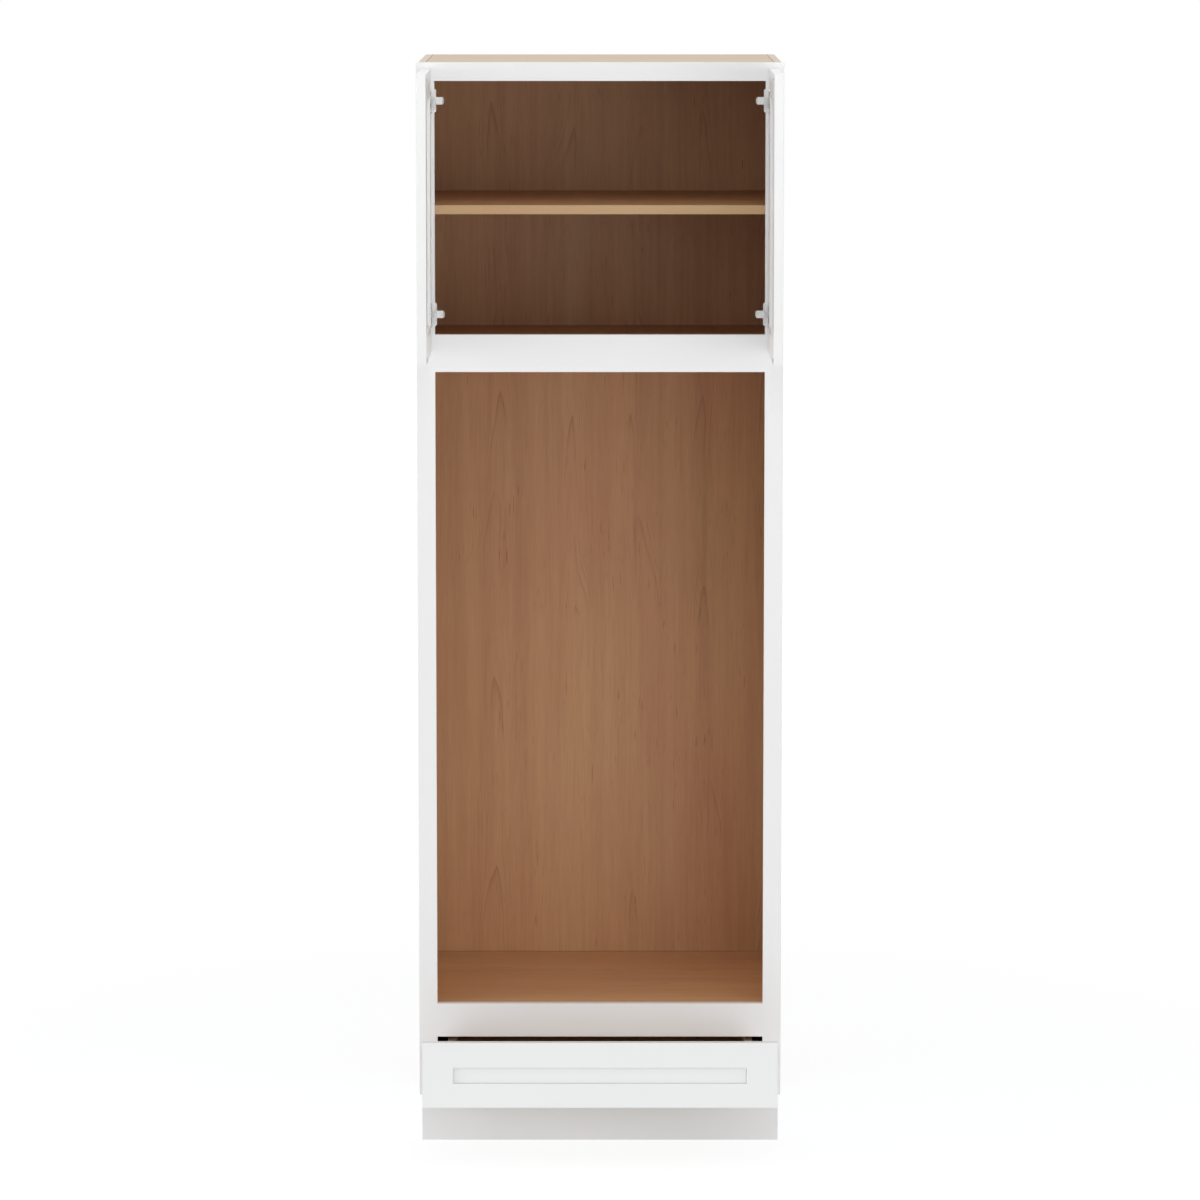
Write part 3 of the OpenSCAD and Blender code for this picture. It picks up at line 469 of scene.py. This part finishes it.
def growth_lines(finish, along, across, through, leaf, peak, steep):
    """Thin dark growth lines, 0 to 1.

    The veneer lies in leaves as wide as leaf, each cut at its own luck. With d for the
    distance from the leaf's middle, the lines are the level lines of (way along +
    2.5 d + steep d cubed + 8 times the way through), peak apart, so they rise to points
    and then run nearly straight. A slow noise bends them, they melt away to the leaf's
    sides, and a patchy noise leaves them out in places.
    """
    number = finish.math("FLOOR", finish.math("DIVIDE", across, leaf))
    luck = finish.add("ShaderNodeTexWhiteNoise", {"noise_dimensions": "1D"},
                      W=number).outputs["Value"]
    middle = finish.math("MULTIPLY", finish.math("ADD", number, 0.5), leaf)
    bend = finish.math("SUBTRACT", wood_noise(finish, along, across, luck, *BENDS), 0.5)
    offset = finish.math("ADD", finish.math("SUBTRACT", across, middle),
                         finish.math("MULTIPLY", bend, BEND_WIDTH))
    offset = finish.math("ABSOLUTE", offset)
    cubed = finish.math("POWER", offset, 3.0)
    spread = finish.math("ADD", finish.math("MULTIPLY", offset, FLAME_SLOPE),
                         finish.math("MULTIPLY", cubed, steep))
    level = finish.math("ADD", along, finish.math("MULTIPLY", luck, LEAF_LUCK))
    level = finish.math("ADD", finish.math("ADD", level, spread),
                        finish.math("MULTIPLY", through, LOG_LEAN))
    phase = finish.math("FRACT", finish.math("DIVIDE", level, peak))
    line = finish.math("POWER", phase, LINE_SHARPNESS)
    inner = finish.step(offset, LEAF_INNER * leaf, LEAF_OUTER * leaf, at_low=1.0,
                        at_high=OUTER_WEIGHT)
    line = finish.math("MULTIPLY", line, inner)
    patch = wood_noise(finish, along, across, luck, *PATCHES)
    return finish.math("MULTIPLY", line, finish.step(patch, *PATCH_RANGE))


# %% Colour of maple
# Each noise starts to show at the first value of its range and is in full at the second.
STREAK_RANGE, STREAK_WEIGHT = (0.35, 0.75), 0.26
BAND_RANGE, BAND_WEIGHT = (0.4, 0.7), 0.3
TICK_RANGE, TICK_WEIGHT = (0.67, 0.76), 0.55
CROWD_RANGE = (0.5, 0.62)
LINE_WEIGHT = 0.52


def maple_parts(finish, axis, thickness, tones=VENEER, leaf=0.15, peak=0.21,
                steep=14000.0):
    """Colour and height of maple.

    A haze mixes the first two tones. Streaks, bands and growth lines, each times its own
    weight, add up to the share of the third, darker tone. Ticks come last, and only
    where they crowd.
    """
    pink, straw, dark = tones
    board = grain_frame(finish, axis, thickness)
    line = growth_lines(finish, *board, leaf, peak, steep)
    streak = wood_noise(finish, *board, *STREAKS)
    band = wood_noise(finish, *board, *BANDS)
    haze = wood_noise(finish, *board, *HAZE)
    tick = wood_noise(finish, *board, *TICKS)
    crowd = wood_noise(finish, *board, *CROWDS)
    wood = finish.mix(finish.step(haze, *NOISE_RANGE), pink, straw)
    shade = finish.math("ADD", finish.step(streak, *STREAK_RANGE, at_high=STREAK_WEIGHT),
                        finish.step(band, *BAND_RANGE, at_high=BAND_WEIGHT))
    shade = finish.math("ADD", shade, finish.math("MULTIPLY", line, LINE_WEIGHT),
                        clamp=True)
    wood = finish.mix(shade, wood, dark)
    tick = finish.math("MULTIPLY", finish.step(tick, *TICK_RANGE, at_high=TICK_WEIGHT),
                       finish.step(crowd, *CROWD_RANGE))
    return finish.mix(tick, wood, MAPLE_TICK), streak


def solid_maple(name, axis, thickness):
    """Solid maple of the drawer box: sapwood, paler than the veneer of the cabinet."""
    finish = Finish(name)
    colour, height = maple_parts(finish, axis, thickness, SAPWOOD, leaf=0.09, peak=0.15,
                                 steep=24000.0)
    return finish.done(colour, roughness=0.46, height=height, depth=0.08 * MM)


maple_across = solid_maple("maple_across", "x", "y")
maple_deep = solid_maple("maple_deep", "y", "x")
print("solid maple made for two grain directions")

# %% [markdown]
# ## Plywood
# A panel is plywood: veneer on both faces and thin layers between them, which show
# only on a cut edge, alternately as pale long grain and as darker end grain. The layers
# are steps of the coordinate through the panel, so each edge shows them by itself. The
# shelf's front edge is covered with a band of pale maple.

# %% Plywood
PLY_PALE = tone(214, 182, 142)
PLY_DARK = tone(158, 116, 78)
PLY_FIBRE_WEIGHT = 0.45
PLY_ROUGHNESS = 0.44
PLY_DEPTH = 0.07 * MM
VENEER_THICKNESS = 0.7 * MM
BAND_PALE = tone(196, 165, 123)
BAND_THICKNESS = 3.0 * MM
BAND_GRAIN = 0.3


def ply_colour(finish, veneer, thickness_axis, low, high, layers):
    """Veneer on the two faces of a panel and layers between them.

    A layer's number is the whole part of layers times the share of the way from low to
    high. Even layers are pale and odd ones dark.
    """
    value = {"x": finish.math("ABSOLUTE", finish.x), "y": finish.y,
             "z": finish.z}[thickness_axis]
    layer = finish.math("FLOOR", finish.step(value, low, high, at_high=float(layers)))
    odd = finish.math("MODULO", layer, 2.0)
    fibre = finish.noise(finish.place, scale=900.0, detail=2.0)
    core = finish.mix(odd, PLY_PALE, PLY_DARK)
    core = finish.mix(finish.math("MULTIPLY", fibre, PLY_FIBRE_WEIGHT), core, MAPLE_DARK)
    face = finish.math("MAXIMUM",
                       finish.math("LESS_THAN", value, low + VENEER_THICKNESS),
                       finish.math("GREATER_THAN", value, high - VENEER_THICKNESS))
    return finish.mix(face, core, veneer)


def plywood(node, grain_axis, thickness_axis, tones=VENEER, banded=False):
    """The finish of a panel with seven layers, from its CAD node's own box."""
    low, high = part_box(node)
    start, end = getattr(low, thickness_axis), getattr(high, thickness_axis)
    finish = Finish(node + "_ply")
    veneer, height = maple_parts(finish, grain_axis, thickness_axis, tones)
    colour = ply_colour(finish, veneer, thickness_axis, start, end, layers=7)
    if banded:
        front = finish.math("LESS_THAN", finish.y, low.y + BAND_THICKNESS)
        colour = finish.mix(front, colour, finish.mix(BAND_GRAIN, BAND_PALE, veneer))
    return finish.done(colour, PLY_ROUGHNESS, height, PLY_DEPTH)


print("a veneer is", VENEER_THICKNESS / MM, "mm thick")

# %% [markdown]
# ## Back panel
# The back is thin plywood, stapled from behind into the side panels and into the rear
# edges of the decks. Only the crowns of the staples show, flush with the face, so they
# are drawn in the finish as short steel dashes on straight lines. Where the back meets
# the top of each deck, a dark line is drawn: a hairline joint and painted contact
# shadow. It is a line through the whole thickness, so it shows on both faces.

# %% Back panel
STAPLE_STEEL = tone(168, 168, 166)
STAPLE_LENGTH = 11.0 * MM
STAPLE_HALF = 0.7 * MM
STAPLE_STEP = 150.0 * MM
STAPLE_INSET = 6.0 * MM
# A dark line just above each deck: a hairline joint and painted contact shadow.
DECK_JOINT_AND_SHADOW = tone(104, 72, 52)
DECK_JOINT_AND_SHADOW_HALF = 0.5 * MM
DECK_JOINT_AND_SHADOW_STRENGTH = 0.8


def staples(finish, along, across, place):
    """1 on dashes that repeat along one line, where across has the value place."""
    beside = finish.math("ABSOLUTE", finish.math("SUBTRACT", across, place))
    phase = finish.math("MODULO", along, STAPLE_STEP)
    return finish.math("MULTIPLY", finish.math("LESS_THAN", beside, STAPLE_HALF),
                       finish.math("LESS_THAN", phase, STAPLE_LENGTH))


back_low, back_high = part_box("back_panel")
back = Finish("back_ply")
veneer, height = maple_parts(back, "z", "y")
back_colour = ply_colour(back, veneer, "y", back_low.y, back_high.y, layers=5)
half_across = back.math("ABSOLUTE", back.x)
marks = staples(back, back.z, half_across, back_high.x - STAPLE_INSET)
for panel in ("top_panel", "upper_deck", "oven_deck", "bottom_panel"):
    low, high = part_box(panel)
    row = staples(back, half_across, back.z, (low.z + high.z) / 2.0)
    marks = back.math("MAXIMUM", marks, row)
outer = back.math("GREATER_THAN", back.y, back_high.y - AT_FACE)
back_colour = back.mix(back.math("MULTIPLY", marks, outer), back_colour, STAPLE_STEEL)
# Painted contact shadow, with the hairline joint, just above the top of each deck.
for deck in ("upper_deck", "oven_deck"):
    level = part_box(deck)[1].z + DECK_JOINT_AND_SHADOW_HALF
    joint = back.math("COMPARE", back.z, level, DECK_JOINT_AND_SHADOW_HALF)
    joint = back.math("MULTIPLY", joint, DECK_JOINT_AND_SHADOW_STRENGTH)
    back_colour = back.mix(joint, back_colour, DECK_JOINT_AND_SHADOW)
back_ply = back.done(back_colour, PLY_ROUGHNESS, height, PLY_DEPTH)
print("back panel stapled every", STAPLE_STEP / MM, "mm")

# %% [markdown]
# ## Bare top
# In a kitchen nobody sees the top, so it is sanded and left bare. Raw maple is paler and
# greyer than maple under a clear coat, with the same pattern. A thin dark joint marks
# where the edges of the side panels meet the top panel.

# %% Bare top
BARE = (tone(217, 196, 173), tone(217, 201, 177), tone(168, 140, 112))
BARE_JOINT = tone(104, 84, 64)
BARE_JOINT_DARK = 0.7 * MM
BARE_JOINT_END = 1.2 * MM
BARE_JOINT_STRENGTH = 0.9


def bare_parts(finish):
    """Colour and height of the bare top. The joint fades with the way from its line."""
    bare, height = maple_parts(finish, "x", "z", BARE)
    across = finish.math("ABSOLUTE", finish.x)
    off = finish.math("ABSOLUTE", finish.math("SUBTRACT", across, side_inner))
    joint = finish.step(off, BARE_JOINT_DARK, BARE_JOINT_END,
                        at_low=BARE_JOINT_STRENGTH, at_high=0.0)
    return finish.mix(joint, bare, BARE_JOINT), height


top = Finish("bare_top")
top_colour, top_height = bare_parts(top)
bare_top = top.done(top_colour, roughness=0.6, height=top_height, depth=0.1 * MM)
print("joint of the bare top at", round(side_inner, 4), "m from the middle")

# %% [markdown]
# ## Side panels
# Each side panel is lacquered white outside, is maple inside, and its top edge is bare
# plywood. One finish holds all three, told apart by how far out and how high a point
# lies.

# %% Side panels
side_panel = Finish("side_panel")
veneer, _ = maple_parts(side_panel, "z", "x")
ply = ply_colour(side_panel, veneer, "x", side_inner, box_half, layers=7)
white, _, white_height = lacquer_parts(side_panel, "z")
bare, _ = bare_parts(side_panel)
crown = side_panel.math("GREATER_THAN", side_panel.z, box_top - AT_FACE)
outside = side_panel.math("GREATER_THAN", side_panel.math("ABSOLUTE", side_panel.x),
                          box_half - AT_FACE)
side_colour = side_panel.mix(crown, ply, bare)
side_colour = side_panel.mix(outside, side_colour, white)
side_panel_finish = side_panel.done(side_colour, roughness=0.42, height=white_height,
                                    depth=LACQUER_DEPTH)
print("side panels: white outside, maple inside")

# %% [markdown]
# ## Metal, nylon and rubber
# The hinges are nickel plated: bright, with fine rolling marks. The cups are a darker
# copy of the same nickel, painted shade for the shaded rims of their flanges. The
# slides are zinc-coated strip, duller and slightly mottled. Shoes and locks are moulded
# nylon, and the bumpers are clear soft plastic.

# %% Metal
MOTTLE_RANGE = (0.35, 0.65)
METAL_SHADE = 0.86


def shaded(colour, share):
    """A colour with only a share of its light."""
    return tuple(v * share for v in colour[:3]) + (1.0,)


def metal(name, colour, rough_low, rough_high, mottle_scale):
    """Plated or coated steel, whose polish and tone vary in soft spots."""
    finish = Finish(name)
    mottle = finish.noise(finish.place, mottle_scale)
    marks = along_grain(finish, "z", draw_out=12.0)
    rolled = finish.noise(marks, scale=1400.0, detail=2.0)
    roughness = finish.step(mottle, *MOTTLE_RANGE, rough_low, rough_high)
    mixed = finish.step(mottle, *NOISE_RANGE)
    plating = finish.mix(mixed, colour, shaded(colour, METAL_SHADE))
    return finish.done(plating, roughness, height=rolled, depth=0.01 * MM, Metallic=1.0)


nickel = metal("nickel", tone(233, 233, 231), 0.28, 0.4, mottle_scale=160.0)
# A darker copy of the nickel for the cups: painted shade on their rims.
shaded_cup_nickel = metal("shaded_cup_nickel", tone(178, 178, 177), 0.22, 0.36, mottle_scale=160.0)
zinc_strip = metal("zinc_strip", tone(196, 198, 200), 0.34, 0.5, mottle_scale=90.0)
print("metals:", nickel.name, shaded_cup_nickel.name, zinc_strip.name)

# %% Nylon and rubber
GLOSS_DRIFT = 0.05
PLASTIC_SHADE = 0.9


def plastic(name, colour, roughness, **constants):
    """Moulded plastic: a fine grain in its gloss and a slow drift in its tone."""
    finish = Finish(name)
    grain = finish.noise(finish.place, scale=2200.0, detail=2.0)
    cloud = finish.noise(finish.place, scale=60.0, detail=2.0)
    shade = finish.mix(cloud, colour, shaded(colour, PLASTIC_SHADE))
    gloss = finish.step(grain, *NOISE_RANGE, roughness - GLOSS_DRIFT,
                        roughness + GLOSS_DRIFT)
    return finish.done(shade, gloss, height=grain, depth=0.02 * MM, **constants)


nylon = plastic("nylon", tone(84, 86, 90), 0.45)
clear_rubber = plastic("clear_rubber", tone(236, 236, 232), 0.3, Transmission_Weight=0.5,
                       IOR=1.49)
print("plastics: nylon for shoes and locks, clear rubber for bumpers")

# %% [markdown]
# ## Giving each piece its finish
# A finish goes into the material slot of the CAD piece itself. The direction of the
# grain follows how a joiner would cut the piece: along its length.

# %% Finishes of the CAD pieces


def dress(finish, *names):
    """Puts one finish on each of the named CAD pieces."""
    for name in names:
        mesh = nodes[name].data
        mesh.materials.clear()
        mesh.materials.append(finish)


dress(side_panel_finish, "side_panel_left", "side_panel_right")
dress(lacquer_upright, "frame_stile_left", "frame_stile_right")
dress(lacquer_across, "frame_top_rail", "frame_middle_rail", "frame_oven_rail",
      "frame_bottom_rail", "toe_kick", "drawer_front_top_rail", "drawer_front_bottom_rail")
for node, finish in panel_white.items():
    dress(finish, node)
dress(lacquer_upright, "drawer_front_stile_left", "drawer_front_stile_right")
for side in ("left", "right"):
    dress(lacquer_upright, f"door_{side}_hinge_stile", f"door_{side}_free_stile")
    dress(lacquer_deep, f"door_{side}_top_rail", f"door_{side}_bottom_rail")
    # The cups take the darker nickel, which is painted shade.
    dress(shaded_cup_nickel, f"door_{side}_hinge_cups")
    dress(nickel, f"door_{side}_hinge_pins", f"door_{side}_cup_screws")
    dress(clear_rubber, f"door_{side}_bumpers")
    dress(zinc_strip, f"slide_middle_{side}")
    dress(nylon, f"slide_shoes_{side}")
    dress(maple_deep, f"drawer_side_{side}")
dress(back_ply, "back_panel")
for panel in ("upper_deck", "oven_deck", "bottom_panel"):
    dress(plywood(panel, "x", "z"), panel)
dress(plywood("drawer_bottom", "x", "z", SAPWOOD), "drawer_bottom")
# The shelf takes the darker copy of the veneer, which is painted shade.
dress(plywood("adjustable_shelf", "x", "z", SHADED_VENEER, banded=True), "adjustable_shelf")
dress(bare_top, "top_panel")
dress(maple_across, "support_cleats", "drawer_box_front", "drawer_box_back")
dress(nickel, "hinge_plates", "hinge_arms", "hinge_plate_screws", "hinge_arm_screws",
      "shelf_pins", "drawer_front_screws", "slide_rail_screws")
dress(zinc_strip, "slide_rails", "slide_runners")
dress(nylon, "slide_latches")
dress(clear_rubber, "drawer_bumpers")
print("pieces dressed:", sum(bool(o.data.materials) for o in nodes.values()))

# %% [markdown]
# ## Finding each screw in the CAD
# A CAD node holds all the screws of one kind as plain stepped pins. To lay a detailed
# screw over each pin, its solid has to be told from its neighbours. Two triangles belong
# to one solid when a chain of shared corners joins them, so labels are passed along
# such chains until they settle. That is quicker than splitting the mesh by hand.

# %% Separate solids of a CAD node


def separate_solids(name):
    """The corner points of each solid of a CAD node, as a list of arrays.

    A CAD mesh is loose triangles. Corners at one place get one number. Then all corners
    of a triangle take the lowest label among them, again and again, until none changes.
    """
    mesh = nodes[name].data
    points = np.empty(3 * len(mesh.vertices), np.float32)
    mesh.vertices.foreach_get("co", points)
    corners = np.empty(len(mesh.loops), np.int32)
    mesh.loops.foreach_get("vertex_index", corners)
    places, same = np.unique(points.reshape(-1, 3).round(6) + 0.0, axis=0,
                             return_inverse=True)
    triangles = same.ravel()[corners].reshape(-1, 3)
    label = np.arange(len(places))
    settled = False
    while not settled:
        lower = label.copy()
        np.minimum.at(lower, triangles, label[triangles].min(axis=1, keepdims=True))
        lower = lower[lower]
        settled = bool((lower == label).all())
        label = lower
    return [places[label == one] for one in np.unique(label)]


print("solids in the plate screws:", len(separate_solids("hinge_plate_screws")))

# %% [markdown]
# ## Closed surfaces on a grid
# A screw and a bumper are round, so each is a grid of rings, with its columns spread
# evenly around the axis. Unlike a lathe modifier, a grid lets the radius and the depth
# change with the angle too, which is what a thread and a cross recess need. On a head or
# a dome the rings lie closer to each other towards the rim: their radii are the sines of
# even steps of a quarter turn.

# %% Closed surfaces on a grid
COLUMNS = 48
RINGS = 15
SHARP_EDGE = 35.0

turn = np.linspace(0.0, 2.0 * np.pi, COLUMNS, endpoint=False)
quarter = np.sin(np.linspace(0.0, np.pi / 2.0, RINGS))[:, None]


def closed_grid(rings):
    """Points, quads and triangles of a closed surface, from an array of rings.

    The first and last rings shrink to one point each. Neighbouring rings are joined by
    quads, and the end points by fans of triangles, all facing outwards.
    """
    count, sides = rings.shape[:2]
    points = np.vstack([rings[0].mean(axis=0, keepdims=True), rings[1:-1].reshape(-1, 3),
                        rings[-1].mean(axis=0, keepdims=True)])
    here = 1 + np.arange((count - 2) * sides).reshape(count - 2, sides)
    beside = np.roll(here, -1, axis=1)
    walls = np.stack([here[:-1], beside[:-1], beside[1:], here[1:]], axis=-1)
    near_fan = np.stack([np.zeros(sides, int), beside[0], here[0]], axis=-1)
    far_fan = np.stack([np.full(sides, len(points) - 1), here[-1], beside[-1]], axis=-1)
    return points, walls.reshape(-1, 4), np.vstack([near_fan, far_fan])


def grid_piece(name, grids, finish, body):
    """One object from several closed grids. It stands for the CAD node of its name."""
    points, faces, start = [], [], 0
    for rings in grids:
        some_points, quads, triangles = closed_grid(rings)
        points.append(some_points)
        faces += (start + quads).tolist() + (start + triangles).tolist()
        start += len(some_points)
    mesh = bpy.data.meshes.new(name + "_shape")
    mesh.from_pydata(np.vstack(points).tolist(), [], faces)
    mesh.polygons.foreach_set("use_smooth", np.ones(len(faces), bool))
    mesh.set_sharp_from_angle(angle=math.radians(SHARP_EDGE))
    mesh.materials.append(finish)
    piece = bpy.data.objects.new(name + "_shape", mesh)
    scene.collection.objects.link(piece)
    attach(piece, body)
    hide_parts(name)
    print(name, len(grids), "solids,", len(faces), "faces")


# %% [markdown]
# ## Screws
# The wood screws have a cross recess, a thread that fades in below the head, and a
# point. Those in the cups, the arms and the drawer front have domed heads that stand
# on the surface. Those in the hinge plates and the slide rails are countersunk.

# %% The place and size of a screw


def smooth_step(value, low, high):
    """0 below low, 1 above high, and 3t squared - 2t cubed between them."""
    share = np.clip((value - low) / (high - low), 0.0, 1.0)
    return share * share * (3.0 - 2.0 * share)


def axes_of(solid):
    """Foot, three directions, radius and length of a round solid that lies on an axis.

    The third direction runs from its wide end to its narrow end, and the foot is the
    middle of the wide end.
    """
    low, high = solid.min(axis=0), solid.max(axis=0)
    main = int(np.argmax(high - low))
    middle = (low + high) / 2.0
    beside = [k for k in range(3) if k != main]
    radius = np.hypot(*(solid - middle)[:, beside].T)
    upper = solid[:, main] > middle[main]
    head_is_high = radius[upper].max() > radius[~upper].max()
    inward = np.zeros(3)
    inward[main] = -1.0 if head_is_high else 1.0
    first = np.zeros(3)
    first[beside[0]] = 1.0
    length = (high - low)[main]
    foot = middle - inward * length / 2.0
    narrow = radius[~upper if head_is_high else upper].max()
    directions = (first, np.cross(inward, first), inward)
    return foot, directions, radius.max(), narrow, length


def around(foot, directions, radius, depth):
    """Points at the given radii and depths, for each column's angle round the axis.

    A point is foot + radius (cos(angle) first + sin(angle) second) + depth third.
    """
    first, second, third = directions
    spoke = np.cos(turn)[:, None] * first + np.sin(turn)[:, None] * second
    return foot + radius[..., None] * spoke + depth[..., None] * third


solid = separate_solids("hinge_plate_screws")[0]
print("a plate screw is", round(float(axes_of(solid)[-1]) / MM, 1), "mm long")

# %% Heads and shanks of screws
SUNK_BY = 0.1 * MM
DOME_POWER = 2.6
SLOT_WALL = (0.09, 0.19)
SLOT_END = (0.25, 0.62)
SLOT_DEPTH = 0.36
PITCH = 1.6 * MM
RINGS_PER_TURN = 5
THREAD_FADE = 1.5 * MM
ROOT = 0.68
POINT_LENGTH = 4.0 * MM
POINT_POWER = 0.7


def screw_head(wide, narrow, head_height, sunk):
    """Radius and depth of the rings of a head, up to its rim.

    A domed head sinks by head_height times (1 - the root of (1 - (r/R) to the power
    2.6)). A countersunk head is level, just below the surface, and narrows evenly to
    the shank. The recess lowers the head by a cross: deep where the lesser of |x| and
    |y| is small and the greater is short of the slot's end, both as shares of the head.
    """
    if sunk:
        rim = wide - (wide - narrow) * SUNK_BY / head_height
        depth = np.full_like(quarter, SUNK_BY)
    else:
        rim = wide
        depth = head_height * (1.0 - np.sqrt(np.maximum(0.0, 1.0 - quarter ** DOME_POWER)))
    radius = rim * quarter * np.ones(COLUMNS)
    x, y = abs(radius * np.cos(turn)), abs(radius * np.sin(turn))
    slot = 1.0 - smooth_step(np.minimum(x, y) / wide, *SLOT_WALL)
    reach = 1.0 - smooth_step(np.maximum(x, y) / wide, *SLOT_END)
    return radius, depth + SLOT_DEPTH * wide * slot * reach


def screw_shank(narrow, head_height, length):
    """Radius and depth of the rings of a shank, from below the head to the point.

    The radius is the root's plus a thread, the square of a zigzag of (depth / pitch -
    turn), which fades in below the head, and all of it tapers to the point.
    """
    depth = np.arange(head_height, length, PITCH / RINGS_PER_TURN)[:, None]
    zigzag = abs(2.0 * np.mod(depth / PITCH - turn / (2.0 * np.pi), 1.0) - 1.0)
    fade_in = smooth_step(depth, head_height, head_height + THREAD_FADE)
    taper = np.clip((length - depth) / POINT_LENGTH, 0.0, 1.0) ** POINT_POWER
    thread = ROOT + (1.0 - ROOT) * fade_in * zigzag ** 2
    return narrow * taper * thread, depth * np.ones(COLUMNS)


def screw_rings(solid, head_height, sunk):
    """Rings of one screw over its plain CAD pin: its head, its shank and its tip."""
    foot, directions, wide, narrow, length = axes_of(solid)
    head_radius, head_depth = screw_head(wide, narrow, head_height, sunk)
    shank_radius, shank_depth = screw_shank(narrow, head_height, length)
    tip = np.zeros((1, COLUMNS))
    radius = np.vstack([head_radius, shank_radius, tip])
    depth = np.vstack([head_depth, shank_depth, tip + length])
    return around(foot, directions, radius, depth)


# %% Screws
# node: (body, height of the head, whether it is countersunk)
SCREWS = {
    "door_left_cup_screws": ("door_left", 1.8 * MM, False),
    "door_right_cup_screws": ("door_right", 1.8 * MM, False),
    "hinge_arm_screws": ("cabinet", 1.8 * MM, False),
    "drawer_front_screws": ("drawer", 2.0 * MM, False),
    "hinge_plate_screws": ("cabinet", 2.0 * MM, True),
    "slide_rail_screws": ("cabinet", 1.5 * MM, True),
}
for name, (body, head_height, sunk) in SCREWS.items():
    grids = [screw_rings(solid, head_height, sunk) for solid in separate_solids(name)]
    grid_piece(name, grids, nickel, body)

# %% [markdown]
# ## Bumpers
# A bumper is a soft clear dome, stuck on where a door or the drawer front would meet
# the frame. Its outline is a flattened circle, a little steeper at the rim.

# %% Bumpers
BUMPER_CROWN = 2.4
BUMPER_RIM = 0.6


def bumper_rings(solid, outward):
    """Rings of one dome over its plain CAD disc, closed in the middle of its foot.

    The way down from the dome's top is t (1 - (1 - (r/R) to the power 2.4) to the
    power 0.6), with t for its thickness.
    """
    low, high = solid.min(axis=0), solid.max(axis=0)
    main = int(np.argmax(np.abs(outward)))
    thick, wide = (high - low)[main], (high - low)[(main + 1) % 3] / 2.0
    inward = -np.array(outward)
    first = np.roll(np.abs(inward), 1)
    directions = (first, np.cross(inward, first), inward)
    crest = (low + high) / 2.0 - inward * thick / 2.0
    share = quarter * np.ones(COLUMNS)
    depth = thick * (1.0 - np.maximum(0.0, 1.0 - share ** BUMPER_CROWN) ** BUMPER_RIM)
    middle = np.zeros((1, COLUMNS))
    return around(crest, directions, np.vstack([wide * share, middle]),
                  np.vstack([depth, middle + thick]))


# node: (body, direction in which the dome stands out)
BUMPERS = {
    "door_left_bumpers": ("door_left", (1.0, 0.0, 0.0)),
    "door_right_bumpers": ("door_right", (-1.0, 0.0, 0.0)),
    "drawer_bumpers": ("drawer", (0.0, 1.0, 0.0)),
}
for name, (body, outward) in BUMPERS.items():
    grids = [bumper_rings(solid, outward) for solid in separate_solids(name)]
    grid_piece(name, grids, clear_rubber, body)

# %% [markdown]
# ## The end
